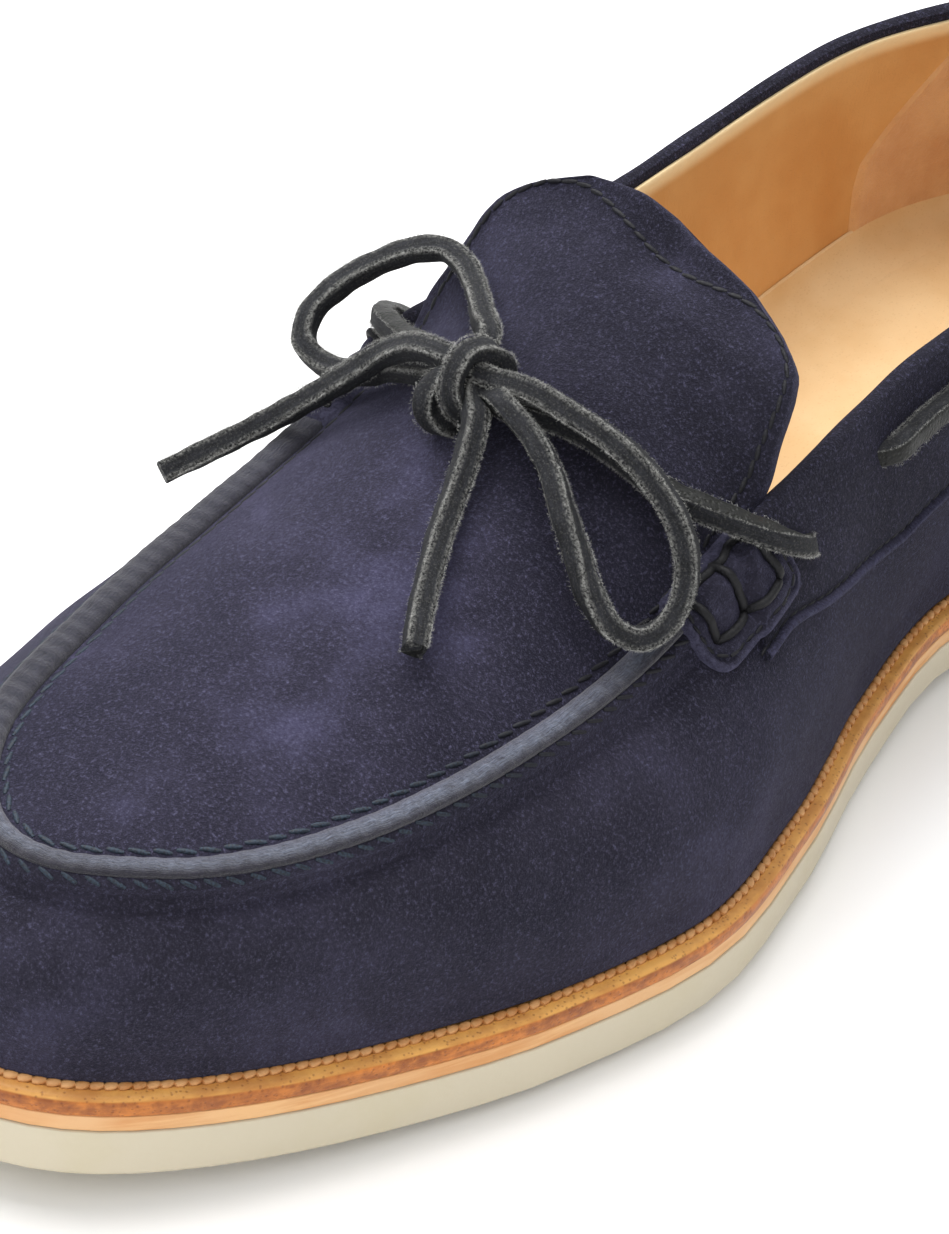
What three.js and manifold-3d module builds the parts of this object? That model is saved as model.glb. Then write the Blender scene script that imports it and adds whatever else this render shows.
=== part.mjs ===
// A men's boat shoe for the left foot, EU size 42, in suede with a moccasin apron.
// Units are millimetres. +Z is up, the toe points to -Y and the outer side of the foot is +X.
// The origin lies under the middle of the shoe, on the floor that it stands on.
//
// The last is described by short tables. "at" is a share of the shoe's length, from 0 at
// the back of the sole to 1 at the toe tip. "outer" and "inner" are distances from the
// centre line to the outer (little toe) side and to the inner (big toe) side.
import * as THREE from "three";
import Module from "manifold-3d";
import { mergeVertices } from "three/addons/utils/BufferGeometryUtils.js";

const wasm = await Module();
wasm.setup();

// ---- Driving dimensions -----------------------------------------------------------------

const SOLE_LENGTH = 300;
const OUTSOLE_THICK = 9.2; // under the ball of the foot
const HEEL_LIFT = 3; // how much thicker the outsole is under the heel
const ARCH_RISE = 1.4; // how far the waist of the outsole clears the floor
const TOE_SPRING = 6.2; // how far the toe tip clears the floor
const MIDSOLE_THICK = 2.2;
const WELT_THICK = 3.4;
const WELT_LEDGE = 3.3; // the part of the welt that shows outside the upper
const WELT_SEAT = 8; // how far the welt runs in under the upper
const BEAD_RISE = 1.2; // the raised inner edge of the ledge, against the upper
const INSOLE_THICK = 3; // at the forefoot
const INSOLE_RISE = 10; // how much thicker it is at the waist and the heel
const UPPER_WALL = 2.3; // suede and lining together
const APRON_WALL = 2.2;
const SEAM_RISE = 1.5; // how far the moccasin seam stands proud of the leather
const SEAM_WIDE = 3;
const TAB_THICK = 1.3; // the patch of suede sewn over each end of the moccasin seam
const TAB_GAP = 0.5; // a tab bridges the foot of the seam's ridge
const SHORTEST_EDGE = 0.04; // in the tabs' cut solids
const LACE_DIAMETER = 3.6;
const TONGUE_LEAN = 1.2; // how much higher the inner corner of the tongue ends
const GAP = 0.3; // between pieces that touch

// Where each ring of the last starts at the heel and ends at the toe.
const SOLE_RING = { heel: 0, toe: 1 };
const TOP_RING = { heel: 0.03, toe: 0.937 };
const THROAT_AT = 0.55; // where the collar meets the side of the tongue

// The outline of the outsole, midsole and welt.
const SOLE_OUTLINE = [
  { at: 0, outer: 0, inner: 0 },
  { at: 0.03, outer: 22.5, inner: 22 },
  { at: 0.08, outer: 32.2, inner: 31.2 },
  { at: 0.15, outer: 36, inner: 34.8 },
  { at: 0.24, outer: 36, inner: 33.6 },
  { at: 0.34, outer: 35.8, inner: 31 },
  { at: 0.44, outer: 41.6, inner: 31.6 },
  { at: 0.54, outer: 51.4, inner: 38.4 },
  { at: 0.64, outer: 57.4, inner: 47.2 },
  { at: 0.74, outer: 52.4, inner: 51 },
  { at: 0.83, outer: 43.2, inner: 47.6 },
  { at: 0.91, outer: 32, inner: 39.4 },
  { at: 0.97, outer: 18.4, inner: 26 },
  { at: 1, outer: -6, inner: 6 },
];

// The top edge of the upper: the collar from the heel to the throat, then the apron seam.
const TOP_EDGE = [
  { at: 0.03, outer: 0, inner: 0, height: 79 },
  { at: 0.06, outer: 16, inner: 16.4, height: 78.8 },
  { at: 0.12, outer: 25.6, inner: 26.6, height: 78 },
  { at: 0.2, outer: 29.8, inner: 33, height: 76.4 },
  { at: 0.3, outer: 30.4, inner: 34.8, height: 72.2 },
  { at: 0.4, outer: 30.6, inner: 34.8, height: 69 },
  { at: 0.48, outer: 33, inner: 34.6, height: 67 },
  { at: 0.55, outer: 35.2, inner: 35.4, height: 65 },
  { at: 0.6, outer: 36.8, inner: 35.8, height: 56 },
  { at: 0.65, outer: 36.9, inner: 35.6, height: 51.2 },
  { at: 0.72, outer: 35.6, inner: 34, height: 48.2 },
  { at: 0.8, outer: 31.6, inner: 30, height: 46.6 },
  { at: 0.87, outer: 23.6, inner: 24.4, height: 46 },
  { at: 0.92, outer: 10.4, inner: 13.6, height: 45.8 },
  { at: 0.937, outer: -1.5, inner: 1.5, height: 45.8 },
];

// The wall between the welt and the top edge. "belly" is how far it swells out past the
// welt, "shoulder" how much of the way in to the top edge is flat, and "rise" and "drop"
// are how long it keeps upright from the welt and, downwards, from the top edge.
const WALL_SHAPE = [
  { at: 0, belly: 5, shoulder: 0.3, rise: 0.42, drop: 0.42 },
  { at: 0.2, belly: 3, shoulder: 0.3, rise: 0.4, drop: 0.4 },
  { at: 0.4, belly: 2.2, shoulder: 0.4, rise: 0.4, drop: 0.38 },
  { at: 0.54, belly: 2.6, shoulder: 0.5, rise: 0.45, drop: 0.3 },
  { at: 0.64, belly: 3, shoulder: 0.5, rise: 0.55, drop: 0.2 },
  { at: 0.85, belly: 2.6, shoulder: 0.42, rise: 0.62, drop: 0.24 },
  { at: 1, belly: 2.6, shoulder: 0.38, rise: 0.66, drop: 0.22 },
];

// The crest of the apron, over its middle, from the throat to the toe.
const APRON_CREST = [
  { at: 0.55, height: 80 },
  { at: 0.6, height: 73 },
  { at: 0.66, height: 66 },
  { at: 0.74, height: 58.6 },
  { at: 0.82, height: 52.8 },
  { at: 0.9, height: 48 },
  { at: 0.937, height: 45.8 },
];

// The tongue's rows from the throat to its top, each an arch with its own half width.
const TONGUE = [
  { half: 33, edgeAt: 0.541, edgeUp: 69.4, crestAt: 0.539, crestUp: 82.2 },
  { half: 31.8, edgeAt: 0.531, edgeUp: 74, crestAt: 0.526, crestUp: 84.6 },
  { half: 30.8, edgeAt: 0.521, edgeUp: 78.6, crestAt: 0.513, crestUp: 87 },
  { half: 29.8, edgeAt: 0.514, edgeUp: 82.2, crestAt: 0.504, crestUp: 88.8 },
  { half: 27.6, edgeAt: 0.506, edgeUp: 85.4, crestAt: 0.4975, crestUp: 90.6 },
  { half: 23.2, edgeAt: 0.4995, edgeUp: 88.4, crestAt: 0.4935, crestUp: 92 },
  { half: 16.5, edgeAt: 0.493, edgeUp: 91.4, crestAt: 0.49, crestUp: 93.2 },
];

// The tabs: rounded rectangles that lie on the wall of the upper, one on each side.
const TAB = { long: 22, wide: 9, corner: 3.4, y: -23.5, climb: 0.3 };
const TAB_PLACES = { outer: { x: 40.5, z: 54.2 }, inner: { x: -39.4, z: 51 } };

// The knot of the bow, an egg of these half sizes over the apron.
const KNOT = { x: -7.2, y: -34.4, z: 75.9, halfWide: 5.2, halfLong: 5.2, halfHigh: 3.9 };

// The routes of the lace, along its middle. The bars run from the knot to a hole on each
// side of the upper. The loops leave the knot and come back to it.
const BAR_OUTER = [
  { x: 40.5, y: -7, z: 58 },
  { x: 40.5, y: -12, z: 61 },
  { x: 39, y: -16.8, z: 64 },
  { x: 36, y: -20.2, z: 66.2 },
  { x: 31, y: -24, z: 68 },
  { x: 25.5, y: -27, z: 69.8 },
  { x: 18.5, y: -28.6, z: 72.8 },
  { x: 11, y: -29.8, z: 74.6 },
  { x: 5, y: -31.4, z: 74.9 },
  { x: 0, y: -33, z: 74.5 },
];
const BAR_INNER = [
  { x: -39, y: -5, z: 57 },
  { x: -39.6, y: -9.6, z: 60.4 },
  { x: -39.2, y: -14.4, z: 63.6 },
  { x: -36.6, y: -19, z: 66.4 },
  { x: -31, y: -23.4, z: 69 },
  { x: -25.5, y: -26.6, z: 71 },
  { x: -19, y: -28.8, z: 73.2 },
  { x: -13.6, y: -30.2, z: 74.4 },
];
const LOOP_OUTER = [
  { x: 1.8, y: -36.8, z: 77.4 },
  { x: 8, y: -38, z: 76.2 },
  { x: 14, y: -40, z: 73.6 },
  { x: 19, y: -42.8, z: 70.6 },
  { x: 24, y: -45, z: 66.8 },
  { x: 29, y: -47, z: 62.6 },
  { x: 33, y: -46.6, z: 59.2 },
  { x: 35.8, y: -43.6, z: 57.4 },
  { x: 37, y: -39.6, z: 58 },
  { x: 36.8, y: -35.6, z: 61 },
  { x: 35.2, y: -33.2, z: 65.4 },
  { x: 32.6, y: -32.4, z: 69.6 },
  { x: 28.8, y: -32.3, z: 73.4 },
  { x: 24, y: -32.3, z: 76.2 },
  { x: 18, y: -32.6, z: 78.1 },
  { x: 11.4, y: -33, z: 79 },
  { x: 4.6, y: -33.2, z: 79.4 },
];
const LOOP_INNER = [
  { x: -7.7, y: -29.2, z: 80.4 },
  { x: -13, y: -24.4, z: 79.8 },
  { x: -20, y: -17.6, z: 78.6 },
  { x: -26.6, y: -12.8, z: 78 },
  { x: -31.5, y: -11.4, z: 77.6 },
  { x: -36, y: -12.6, z: 76 },
  { x: -40.5, y: -16, z: 73 },
  { x: -43.8, y: -21.4, z: 69.4 },
  { x: -44.8, y: -26.6, z: 65.6 },
  { x: -42.6, y: -29.8, z: 63 },
  { x: -38.4, y: -30.4, z: 61.8 },
  { x: -33.5, y: -30.6, z: 62.8 },
  { x: -28.5, y: -31, z: 65.2 },
  { x: -23.8, y: -31.5, z: 68.4 },
  { x: -18.4, y: -32.5, z: 71.2 },
];
const END_INNER = [
  { x: -14.2, y: -34.9, z: 78.1 },
  { x: -18, y: -34.4, z: 76.5 },
  { x: -22.6, y: -34.6, z: 73.1 },
  { x: -27, y: -36.2, z: 68.3 },
  { x: -32, y: -38, z: 62.9 },
  { x: -37.2, y: -40.4, z: 57.4 },
  { x: -41.4, y: -44.8, z: 53.4 },
  { x: -44.6, y: -50.2, z: 50.6 },
  { x: -47, y: -55.7, z: 48.6 },
];
const END_FRONT = [
  { x: -0.4, y: -40.2, z: 75.2 },
  { x: 1.6, y: -43.4, z: 72.6 },
  { x: 4.2, y: -48.8, z: 69.4 },
  { x: 7, y: -54.8, z: 66.6 },
  { x: 10.4, y: -60.8, z: 64.4 },
  { x: 14, y: -66.6, z: 62.2 },
  { x: 18, y: -72.4, z: 60.4 },
];

// The lace shows again along the collar, between two places counted in ribs of the upper.
const COLLAR_LACE = { from: 15.4, to: 19.5, column: 6 };

// ---- Curves through tables --------------------------------------------------------------

// A smooth curve through one column of a table, without overshoot between the rows.
function along(table, column, key = (row) => row.at) {
  const xs = table.map(key);
  const ys = table.map((row) => row[column]);
  const chords = xs.slice(1).map((x, i) => (ys[i + 1] - ys[i]) / (x - xs[i]));
  const slopes = xs.map((_, i) => {
    if (i === 0) return chords[0];
    if (i === chords.length) return chords[i - 1];
    const [a, b] = [chords[i - 1], chords[i]];
    return a * b <= 0 ? 0 : (2 * a * b) / (a + b);
  });
  return (x) => {
    let i = 0;
    while (i < chords.length - 1 && x > xs[i + 1]) i += 1;
    const width = xs[i + 1] - xs[i];
    const t = THREE.MathUtils.clamp((x - xs[i]) / width, 0, 1);
    const [t2, t3] = [t * t, t * t * t];
    return (
      ys[i] * (2 * t3 - 3 * t2 + 1) +
      ys[i + 1] * (3 * t2 - 2 * t3) +
      width * (slopes[i] * (t3 - 2 * t2 + t) + slopes[i + 1] * (t3 - t2))
    );
  };
}

const yOf = (at) => SOLE_LENGTH * (0.5 - at);
const atOf = (y) => 0.5 - y / SOLE_LENGTH;
const smooth = (from, to, x) => THREE.MathUtils.smoothstep(x, from, to);

// A ring of the last is read by a turn from 0 at the heel to 1 at the toe, which crowds
// its points where the outline rounds the heel and the toe.
const shareAt = (ring, turn) =>
  ring.heel + ((ring.toe - ring.heel) * (1 - Math.cos(Math.PI * turn))) / 2;
function turnAt(ring, at) {
  const share = THREE.MathUtils.clamp((at - ring.heel) / (ring.toe - ring.heel), 0, 1);
  return Math.acos(1 - 2 * share) / Math.PI;
}

const soleTurn = (row) => turnAt(SOLE_RING, row.at);
const soleOuter = along(SOLE_OUTLINE, "outer", soleTurn);
const soleInner = along(SOLE_OUTLINE, "inner", soleTurn);
const topTurn = (row) => turnAt(TOP_RING, row.at);
const topOuter = along(TOP_EDGE, "outer", topTurn);
const topInner = along(TOP_EDGE, "inner", topTurn);
const topHeight = along(TOP_EDGE, "height");
const crestHeight = along(APRON_CREST, "height");
const [belly, shoulder, rise, drop] = ["belly", "shoulder", "rise", "drop"].map((name) =>
  along(WALL_SHAPE, name),
);

// ---- Mesh helpers -----------------------------------------------------------------------

// Joins rows of points, each with the same number, into faces. Rows and columns can close.
function gridFaces(rows, columns, closeRows = false, closeColumns = true) {
  const faces = [];
  for (let i = 0; i < (closeRows ? rows : rows - 1); i += 1) {
    for (let j = 0; j < (closeColumns ? columns : columns - 1); j += 1) {
      const [i2, j2] = [(i + 1) % rows, (j + 1) % columns];
      const [a, b] = [i * columns + j, i * columns + j2];
      const [c, d] = [i2 * columns + j2, i2 * columns + j];
      faces.push(a, b, c, a, c, d);
    }
  }
  return faces;
}

// Six times the volume that the faces enclose, negative if they face inwards.
function signedVolume(points, faces) {
  let total = 0;
  for (let i = 0; i < faces.length; i += 3) {
    const [a, b, c] = [points[faces[i]], points[faces[i + 1]], points[faces[i + 2]]];
    total += a.dot(b.clone().cross(c));
  }
  return total;
}

// A closed geometry from points and faces, facing outwards. Points as near as "nearest"
// become one, and faces of no size are left out.
function solidGeometry(points, faces, nearest = 1e-3) {
  const turned = signedVolume(points, faces) < 0 ? [...faces].reverse() : faces;
  const geometry = new THREE.BufferGeometry().setFromPoints(points);
  geometry.setIndex(turned);
  const merged = mergeVertices(geometry, nearest);
  const index = merged.getIndex().array;
  const kept = [];
  for (let i = 0; i < index.length; i += 3) {
    const [a, b, c] = [index[i], index[i + 1], index[i + 2]];
    if (a !== b && b !== c && c !== a) kept.push(a, b, c);
  }
  return merged.setIndex(kept);
}

// Moves each point of a grid square to its surface, to the left of the way from row to
// row when the columns run up.
function moved(grid, distance, closeRows) {
  const rows = grid.length;
  const columns = grid[0].length;
  return grid.map((row, i) =>
    row.map((point, j) => {
      const ahead = closeRows ? grid[(i + 1) % rows] : grid[Math.min(i + 1, rows - 1)];
      const behind = closeRows ? grid[(i + rows - 1) % rows] : grid[Math.max(i - 1, 0)];
      const run = ahead[j].clone().sub(behind[j]);
      const climb = row[Math.min(j + 1, columns - 1)].clone().sub(row[Math.max(j - 1, 0)]);
      return point.clone().addScaledVector(climb.cross(run).normalize(), distance);
    }),
  );
}

// The solid between two grids of the same size. A grid whose rows close has two rims, and
// one whose rows are open is closed at both ends too.
function between(grid, under, closeRows) {
  const rows = grid.map((row, i) => [...row, ...under[i].slice().reverse()]);
  const columns = rows[0].length;
  const faces = gridFaces(rows.length, columns, closeRows);
  for (const start of closeRows ? [] : [0, (rows.length - 1) * columns]) {
    for (let j = 0; j < columns / 2 - 1; j += 1) {
      const [a, b] = [start + j, start + j + 1];
      const [c, d] = [start + columns - 2 - j, start + columns - 1 - j];
      if (start) faces.push(a, b, c, a, c, d);
      else faces.push(a, c, b, a, d, c);
    }
  }
  return solidGeometry(rows.flat(), faces);
}

const materials = {
  suede: new THREE.MeshStandardMaterial({ color: 0x34324a, roughness: 0.95 }),
  welt: new THREE.MeshStandardMaterial({ color: 0xc0803e, roughness: 0.55 }),
  midsole: new THREE.MeshStandardMaterial({ color: 0xd9a878, roughness: 0.6 }),
  insole: new THREE.MeshStandardMaterial({ color: 0xdfb787, roughness: 0.55 }),
  rubber: new THREE.MeshStandardMaterial({ color: 0xd8ceb4, roughness: 0.75 }),
  lace: new THREE.MeshStandardMaterial({ color: 0x2c2d2b, roughness: 0.8 }),
};

const shoe = new THREE.Group();
function add(name, geometry, material) {
  const mesh = new THREE.Mesh(geometry, material);
  mesh.name = name;
  shoe.add(mesh);
}

// ---- Sole -------------------------------------------------------------------------------

const SOLE_ROWS = 52; // cross sections from heel to toe

const toeLift = (at) => TOE_SPRING * Math.max(0, (at - 0.66) / 0.34) ** 2;

// The floor side of the outsole: flat under the heel and the ball, raised at waist and toe.
function soleBottom(at) {
  const waist = smooth(0.24, 0.34, at) * (1 - smooth(0.36, 0.46, at));
  return ARCH_RISE * waist + toeLift(at);
}
const outsoleTop = (at) =>
  OUTSOLE_THICK + HEEL_LIFT * (1 - smooth(0.1, 0.36, at)) + toeLift(at);
const midsoleTop = (at) => outsoleTop(at) + GAP + MIDSOLE_THICK;
const weltBottom = (at) => midsoleTop(at) + GAP;
const weltTop = (at) => weltBottom(at) + WELT_THICK;

// The two sides of the sole's outline moved inwards, as rows at the same places along the
// shoe, crowded towards the heel and the toe.
function outline(inset, rows = SOLE_ROWS) {
  const steps = 400;
  const sides = [1, -1].map((side) => {
    const edge = (turn) =>
      new THREE.Vector2(
        side > 0 ? soleOuter(turn) : -soleInner(turn),
        yOf(shareAt(SOLE_RING, turn)),
      );
    return Array.from({ length: steps + 1 }, (_, i) => {
      const turn = i / steps;
      const run = edge(Math.min(1, turn + 0.004)).sub(edge(Math.max(0, turn - 0.004)));
      const inwards = new THREE.Vector2(run.y, -run.x).normalize().multiplyScalar(side);
      if (i === 0) inwards.set(0, -1);
      if (i === steps) inwards.set(0, 1);
      return edge(turn).addScaledVector(inwards, inset);
    });
  });
  const xAt = (side, y) => {
    const i = side.findIndex((point) => point.y <= y);
    if (i <= 0) return side[i < 0 ? steps : 0].x;
    const [before, after] = [side[i - 1], side[i]];
    return THREE.MathUtils.mapLinear(y, before.y, after.y, before.x, after.x);
  };
  const [back, front] = [sides[0][0].y, sides[0][steps].y];
  return Array.from({ length: rows + 1 }, (_, i) => {
    const y = back + ((front - back) * (1 - Math.cos((Math.PI * i) / rows))) / 2;
    return { y, at: atOf(y), outer: xAt(sides[0], y), inner: xAt(sides[1], y) };
  });
}

// A plate from a stack of levels, each with an inset and a height over the shoe's length,
// from the bottom up.
function plate(levels) {
  const edges = levels.map(({ inset }) => outline(inset));
  const rows = edges[0].map((_, i) => {
    const outer = levels.map(({ height }, k) => {
      const edge = edges[k][i];
      return new THREE.Vector3(edge.outer, edge.y, height(edge.at));
    });
    const inner = levels.map(({ height }, k) => {
      const edge = edges[k][i];
      return new THREE.Vector3(edge.inner, edge.y, height(edge.at));
    });
    return [...outer, ...inner.reverse()];
  });
  return solidGeometry(rows.flat(), [
    ...gridFaces(rows.length, rows[0].length),
    ...endFaces(rows, 0),
    ...endFaces(rows, rows.length - 1),
  ]);
}

// Closes the first or the last row of a plate, whose levels differ in inset.
function endFaces(rows, i) {
  const columns = rows[i].length;
  const faces = [];
  for (let j = 0; j < columns / 2 - 1; j += 1) {
    const [a, b] = [i * columns + j, i * columns + j + 1];
    const [c, d] = [i * columns + columns - 2 - j, i * columns + columns - 1 - j];
    if (i) faces.push(a, b, c, a, c, d);
    else faces.push(a, c, b, a, d, c);
  }
  return faces;
}

add(
  "outsole",
  plate([
    { inset: 1.4, height: soleBottom },
    { inset: 0, height: (at) => soleBottom(at) + 1.6 },
    { inset: 0, height: outsoleTop },
  ]),
  materials.rubber,
);
add(
  "midsole",
  plate([
    { inset: 0.3, height: (at) => outsoleTop(at) + GAP },
    { inset: 0.3, height: midsoleTop },
  ]),
  materials.midsole,
);

// The welt is a strip that runs round the shoe, with a rounded edge, a flat ledge and a
// raised bead on the ledge's inner side, just outside the seat of the upper.
const WELT_SECTION = [
  { inset: 0.5, up: 0 },
  { inset: 0, up: 1 },
  { inset: 0, up: WELT_THICK - 1.1 },
  { inset: 0.8, up: WELT_THICK - 0.2 },
  { inset: WELT_LEDGE - 1.2, up: WELT_THICK },
  { inset: WELT_LEDGE - 0.9, up: WELT_THICK + BEAD_RISE },
  { inset: WELT_LEDGE - 0.5, up: WELT_THICK + BEAD_RISE },
  { inset: WELT_LEDGE, up: WELT_THICK },
  { inset: WELT_LEDGE + WELT_SEAT, up: WELT_THICK },
  { inset: WELT_LEDGE + WELT_SEAT, up: 0 },
];
const weltLoops = WELT_SECTION.map(({ inset, up }) => {
  const rows = outline(inset);
  const point = (row, side) => new THREE.Vector3(row[side], row.y, weltBottom(row.at) + up);
  const outer = rows.map((row) => point(row, "outer"));
  const inner = rows.slice(1, -1).map((row) => point(row, "inner"));
  return [...outer, ...inner.reverse()];
});
add(
  "welt",
  solidGeometry(weltLoops.flat(), gridFaces(weltLoops.length, weltLoops[0].length, true)),
  materials.welt,
);

const insoleInset = WELT_LEDGE + GAP + UPPER_WALL + 0.5;
const insoleBottom = (at) => weltTop(at) + GAP;
const insoleTop = (at) =>
  insoleBottom(at) + INSOLE_THICK + INSOLE_RISE * (1 - smooth(0.32, 0.46, at));
add(
  "insole",
  plate([
    { inset: insoleInset, height: insoleBottom },
    { inset: insoleInset, height: (at) => insoleTop(at) - 0.6 },
    { inset: insoleInset + 0.8, height: insoleTop },
  ]),
  materials.insole,
);

// ---- Upper ------------------------------------------------------------------------------

const RIBS = 42; // ribs from heel to toe on each side
const RIB_POINTS = 8; // points up a rib, below the seam's ridge

const feather = outline(WELT_LEDGE + GAP, RIBS);

// The foot of a rib, on the welt, and its head, on the top edge.
const footPoint = (i, side) =>
  new THREE.Vector3(
    side > 0 ? feather[i].outer : feather[i].inner,
    feather[i].y,
    weltTop(feather[i].at) + GAP,
  );
function headPoint(i, side) {
  const turn = i / RIBS;
  const at = shareAt(TOP_RING, turn);
  const x = side > 0 ? topOuter(turn) : -topInner(turn);
  return new THREE.Vector3(x, yOf(at), topHeight(at));
}

// One rib of the wall from the welt up to the top edge, as a cubic curve.
function rib(i, side) {
  const [foot, head] = [footPoint(i, side), headPoint(i, side)];
  const { at } = feather[i];
  const run = footPoint(Math.min(i + 1, RIBS), side).sub(footPoint(Math.max(i - 1, 0), side));
  const out = new THREE.Vector3(-run.y * side, run.x * side, 0).normalize();
  if (i === 0) out.set(0, 1, 0);
  if (i === RIBS) out.set(0, -1, 0);
  const height = head.z - foot.z;
  const low = foot.clone().addScaledVector(out, belly(at));
  low.z += height * rise(at);
  const high = new THREE.Vector3(foot.x, foot.y, head.z).sub(head);
  const high2 = head.clone().addScaledVector(high, shoulder(at));
  high2.addScaledVector(out, belly(at) * Math.min(1, 6 / (high.length() + 1)));
  high2.z -= height * drop(at);
  return new THREE.CubicBezierCurve3(foot, low, high2, head);
}

// The ribs in order round the shoe: from the heel along the outer side, back by the inner.
const ribOrder = [];
for (let i = 0; i <= RIBS; i += 1) ribOrder.push([i, 1]);
for (let i = RIBS - 1; i > 0; i -= 1) ribOrder.push([i, -1]);

// Points up a rib, evenly spaced to where the seam's ridge starts, then two on the ridge.
const upperGrid = ribOrder.map(([i, side]) => {
  const curve = rib(i, side);
  const length = curve.getLength();
  const ridge = 1 - SEAM_WIDE / length;
  const shares = Array.from({ length: RIB_POINTS }, (_, j) => (ridge * j) / (RIB_POINTS - 1));
  return [...shares, 1 - (0.55 * SEAM_WIDE) / length, 1].map((share) => curve.getPointAt(share));
});
const upperInside = moved(upperGrid, -UPPER_WALL, true);
upperInside.forEach((row, i) => {
  row[0].z = upperGrid[i][0].z;
});
const raised = moved(upperGrid, SEAM_RISE, true);
const upperOutside = upperGrid.map((row, i) => {
  const share = smooth(THROAT_AT, THROAT_AT + 0.05, atOf(row.at(-1).y));
  return row.map((point, j) =>
    j < RIB_POINTS ? point : point.clone().lerp(raised[i][j], share),
  );
});
add("upper", between(upperOutside, upperInside, true), materials.suede);

// ---- Apron and tongue -------------------------------------------------------------------

const APRON_COLUMNS = 14;
const ARCH_POWER = 2.2; // 2 is a parabola, more is flatter on top
const EDGE_CROWDING = 0.6; // how far the columns crowd towards an arch's ends, from 0 to 1

// An arch from the outer edge to the inner edge by way of a crest.
function arch(outer, inner, crest) {
  return Array.from({ length: APRON_COLUMNS + 1 }, (_, j) => {
    const share = j / APRON_COLUMNS;
    const even = 2 * share - 1;
    const across = THREE.MathUtils.lerp(even, Math.sin((Math.PI / 2) * even), EDGE_CROWDING);
    const edge = outer.clone().lerp(inner, (across + 1) / 2);
    const height = 1 - Math.abs(across) ** ARCH_POWER;
    const rise = crest.clone().sub(outer.clone().add(inner).multiplyScalar(0.5));
    return edge.add(new THREE.Vector3(0, rise.y, rise.z).multiplyScalar(height));
  });
}

// The apron's edge beside the head of a rib: clear of the upper's rim, which is level at
// the toe and turns upright towards the throat.
function apronEdge(i, side) {
  const head = headPoint(i, side);
  const rim = upperInside[side > 0 ? i : (2 * RIBS - i) % (2 * RIBS)].at(-1);
  const ahead = headPoint(Math.min(i + 1, RIBS), side);
  const run = ahead.sub(headPoint(i - 1, side)).setZ(0);
  const inwards = new THREE.Vector3(run.y, -run.x, 0).normalize().multiplyScalar(side);
  const depth = Math.max(0, rim.clone().sub(head).dot(inwards));
  return head.addScaledVector(inwards, depth + GAP);
}

// The rows of the apron have their edges beside the heads of the upper's ribs.
const apronRows = [];
for (let i = RIBS - 1; shareAt(TOP_RING, i / RIBS) > THROAT_AT; i -= 1) {
  const [outer, inner] = [apronEdge(i, 1), apronEdge(i, -1)];
  const crest = outer.clone().add(inner).multiplyScalar(0.5);
  crest.z = Math.max(crest.z, crestHeight(shareAt(TOP_RING, i / RIBS)));
  apronRows.push(arch(outer, inner, crest));
}
const tongueRows = TONGUE.map(({ half, edgeAt, edgeUp, crestAt, crestUp }, k) => {
  const lean = (TONGUE_LEAN * (k + 1)) / TONGUE.length;
  return arch(
    new THREE.Vector3(half, yOf(edgeAt), edgeUp - lean),
    new THREE.Vector3(-half, yOf(edgeAt), edgeUp + lean),
    new THREE.Vector3(0, yOf(crestAt), crestUp),
  );
});
const apronGrid = [...apronRows, ...tongueRows];

// The underside of each row lies square to the crest, so that the edges stay upright.
const apronUnder = apronGrid.map((row, i) => {
  const middle = APRON_COLUMNS / 2;
  const ahead = apronGrid[Math.min(i + 1, apronGrid.length - 1)][middle];
  const run = ahead.clone().sub(apronGrid[Math.max(i - 1, 0)][middle]);
  const down = new THREE.Vector3(0, run.z, -run.y).normalize();
  return row.map((point) => point.clone().addScaledVector(down, APRON_WALL * 1.1));
});
add("apron_tongue", between(apronGrid, apronUnder, false), materials.suede);

// ---- Tabs over the ends of the seam -----------------------------------------------------

function toManifold(geometry) {
  return new wasm.Manifold(
    new wasm.Mesh({
      numProp: 3,
      vertProperties: geometry.getAttribute("position").array,
      triVerts: new Uint32Array(geometry.getIndex().array),
    }),
  );
}

function fromManifold(solid) {
  const { vertProperties, triVerts } = solid.getMesh();
  const positions = new THREE.BufferAttribute(vertProperties, 3);
  const points = Array.from({ length: positions.count }, (_, i) =>
    new THREE.Vector3().fromBufferAttribute(positions, i),
  );
  return solidGeometry(points, [...triVerts], SHORTEST_EDGE);
}

// A tab is cut by a prism from a skin between two larger forms of the upper.
const skin = toManifold(
  between(
    moved(upperOutside, TAB_GAP + TAB_THICK, true),
    moved(upperOutside, TAB_GAP, true),
    true,
  ),
).subtract(toManifold(between(moved(upperOutside, GAP, true), upperInside, true)));
function tab({ x, z }) {
  const { long, wide, corner, y, climb } = TAB;
  const [halfLong, halfWide] = [long / 2, wide / 2];
  const shape = new THREE.Shape();
  for (const [sx, sy, turn] of [[1, 1, 0], [-1, 1, 1], [-1, -1, 2], [1, -1, 3]]) {
    const centre = [sx * (halfLong - corner), sy * (halfWide - corner)];
    shape.absarc(...centre, corner, (turn * Math.PI) / 2, ((turn + 1) * Math.PI) / 2);
  }
  const depth = 14;
  const block = new THREE.ExtrudeGeometry(shape, { depth, bevelEnabled: false, curveSegments: 4 });
  block.translate(0, 0, -depth / 2);
  const lengthways = new THREE.Vector3(0, 1, climb).normalize();
  const out = new THREE.Vector3(0.9 * Math.sign(x), -0.1, 0.42);
  const across = out.clone().cross(lengthways).normalize();
  out.crossVectors(lengthways, across);
  block.applyMatrix4(
    new THREE.Matrix4().makeBasis(lengthways, across, out).setPosition(x, y, z),
  );
  const plain = new THREE.BufferGeometry();
  plain.setAttribute("position", block.getAttribute("position"));
  return fromManifold(skin.intersect(toManifold(mergeVertices(plain, 1e-3))));
}
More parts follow.
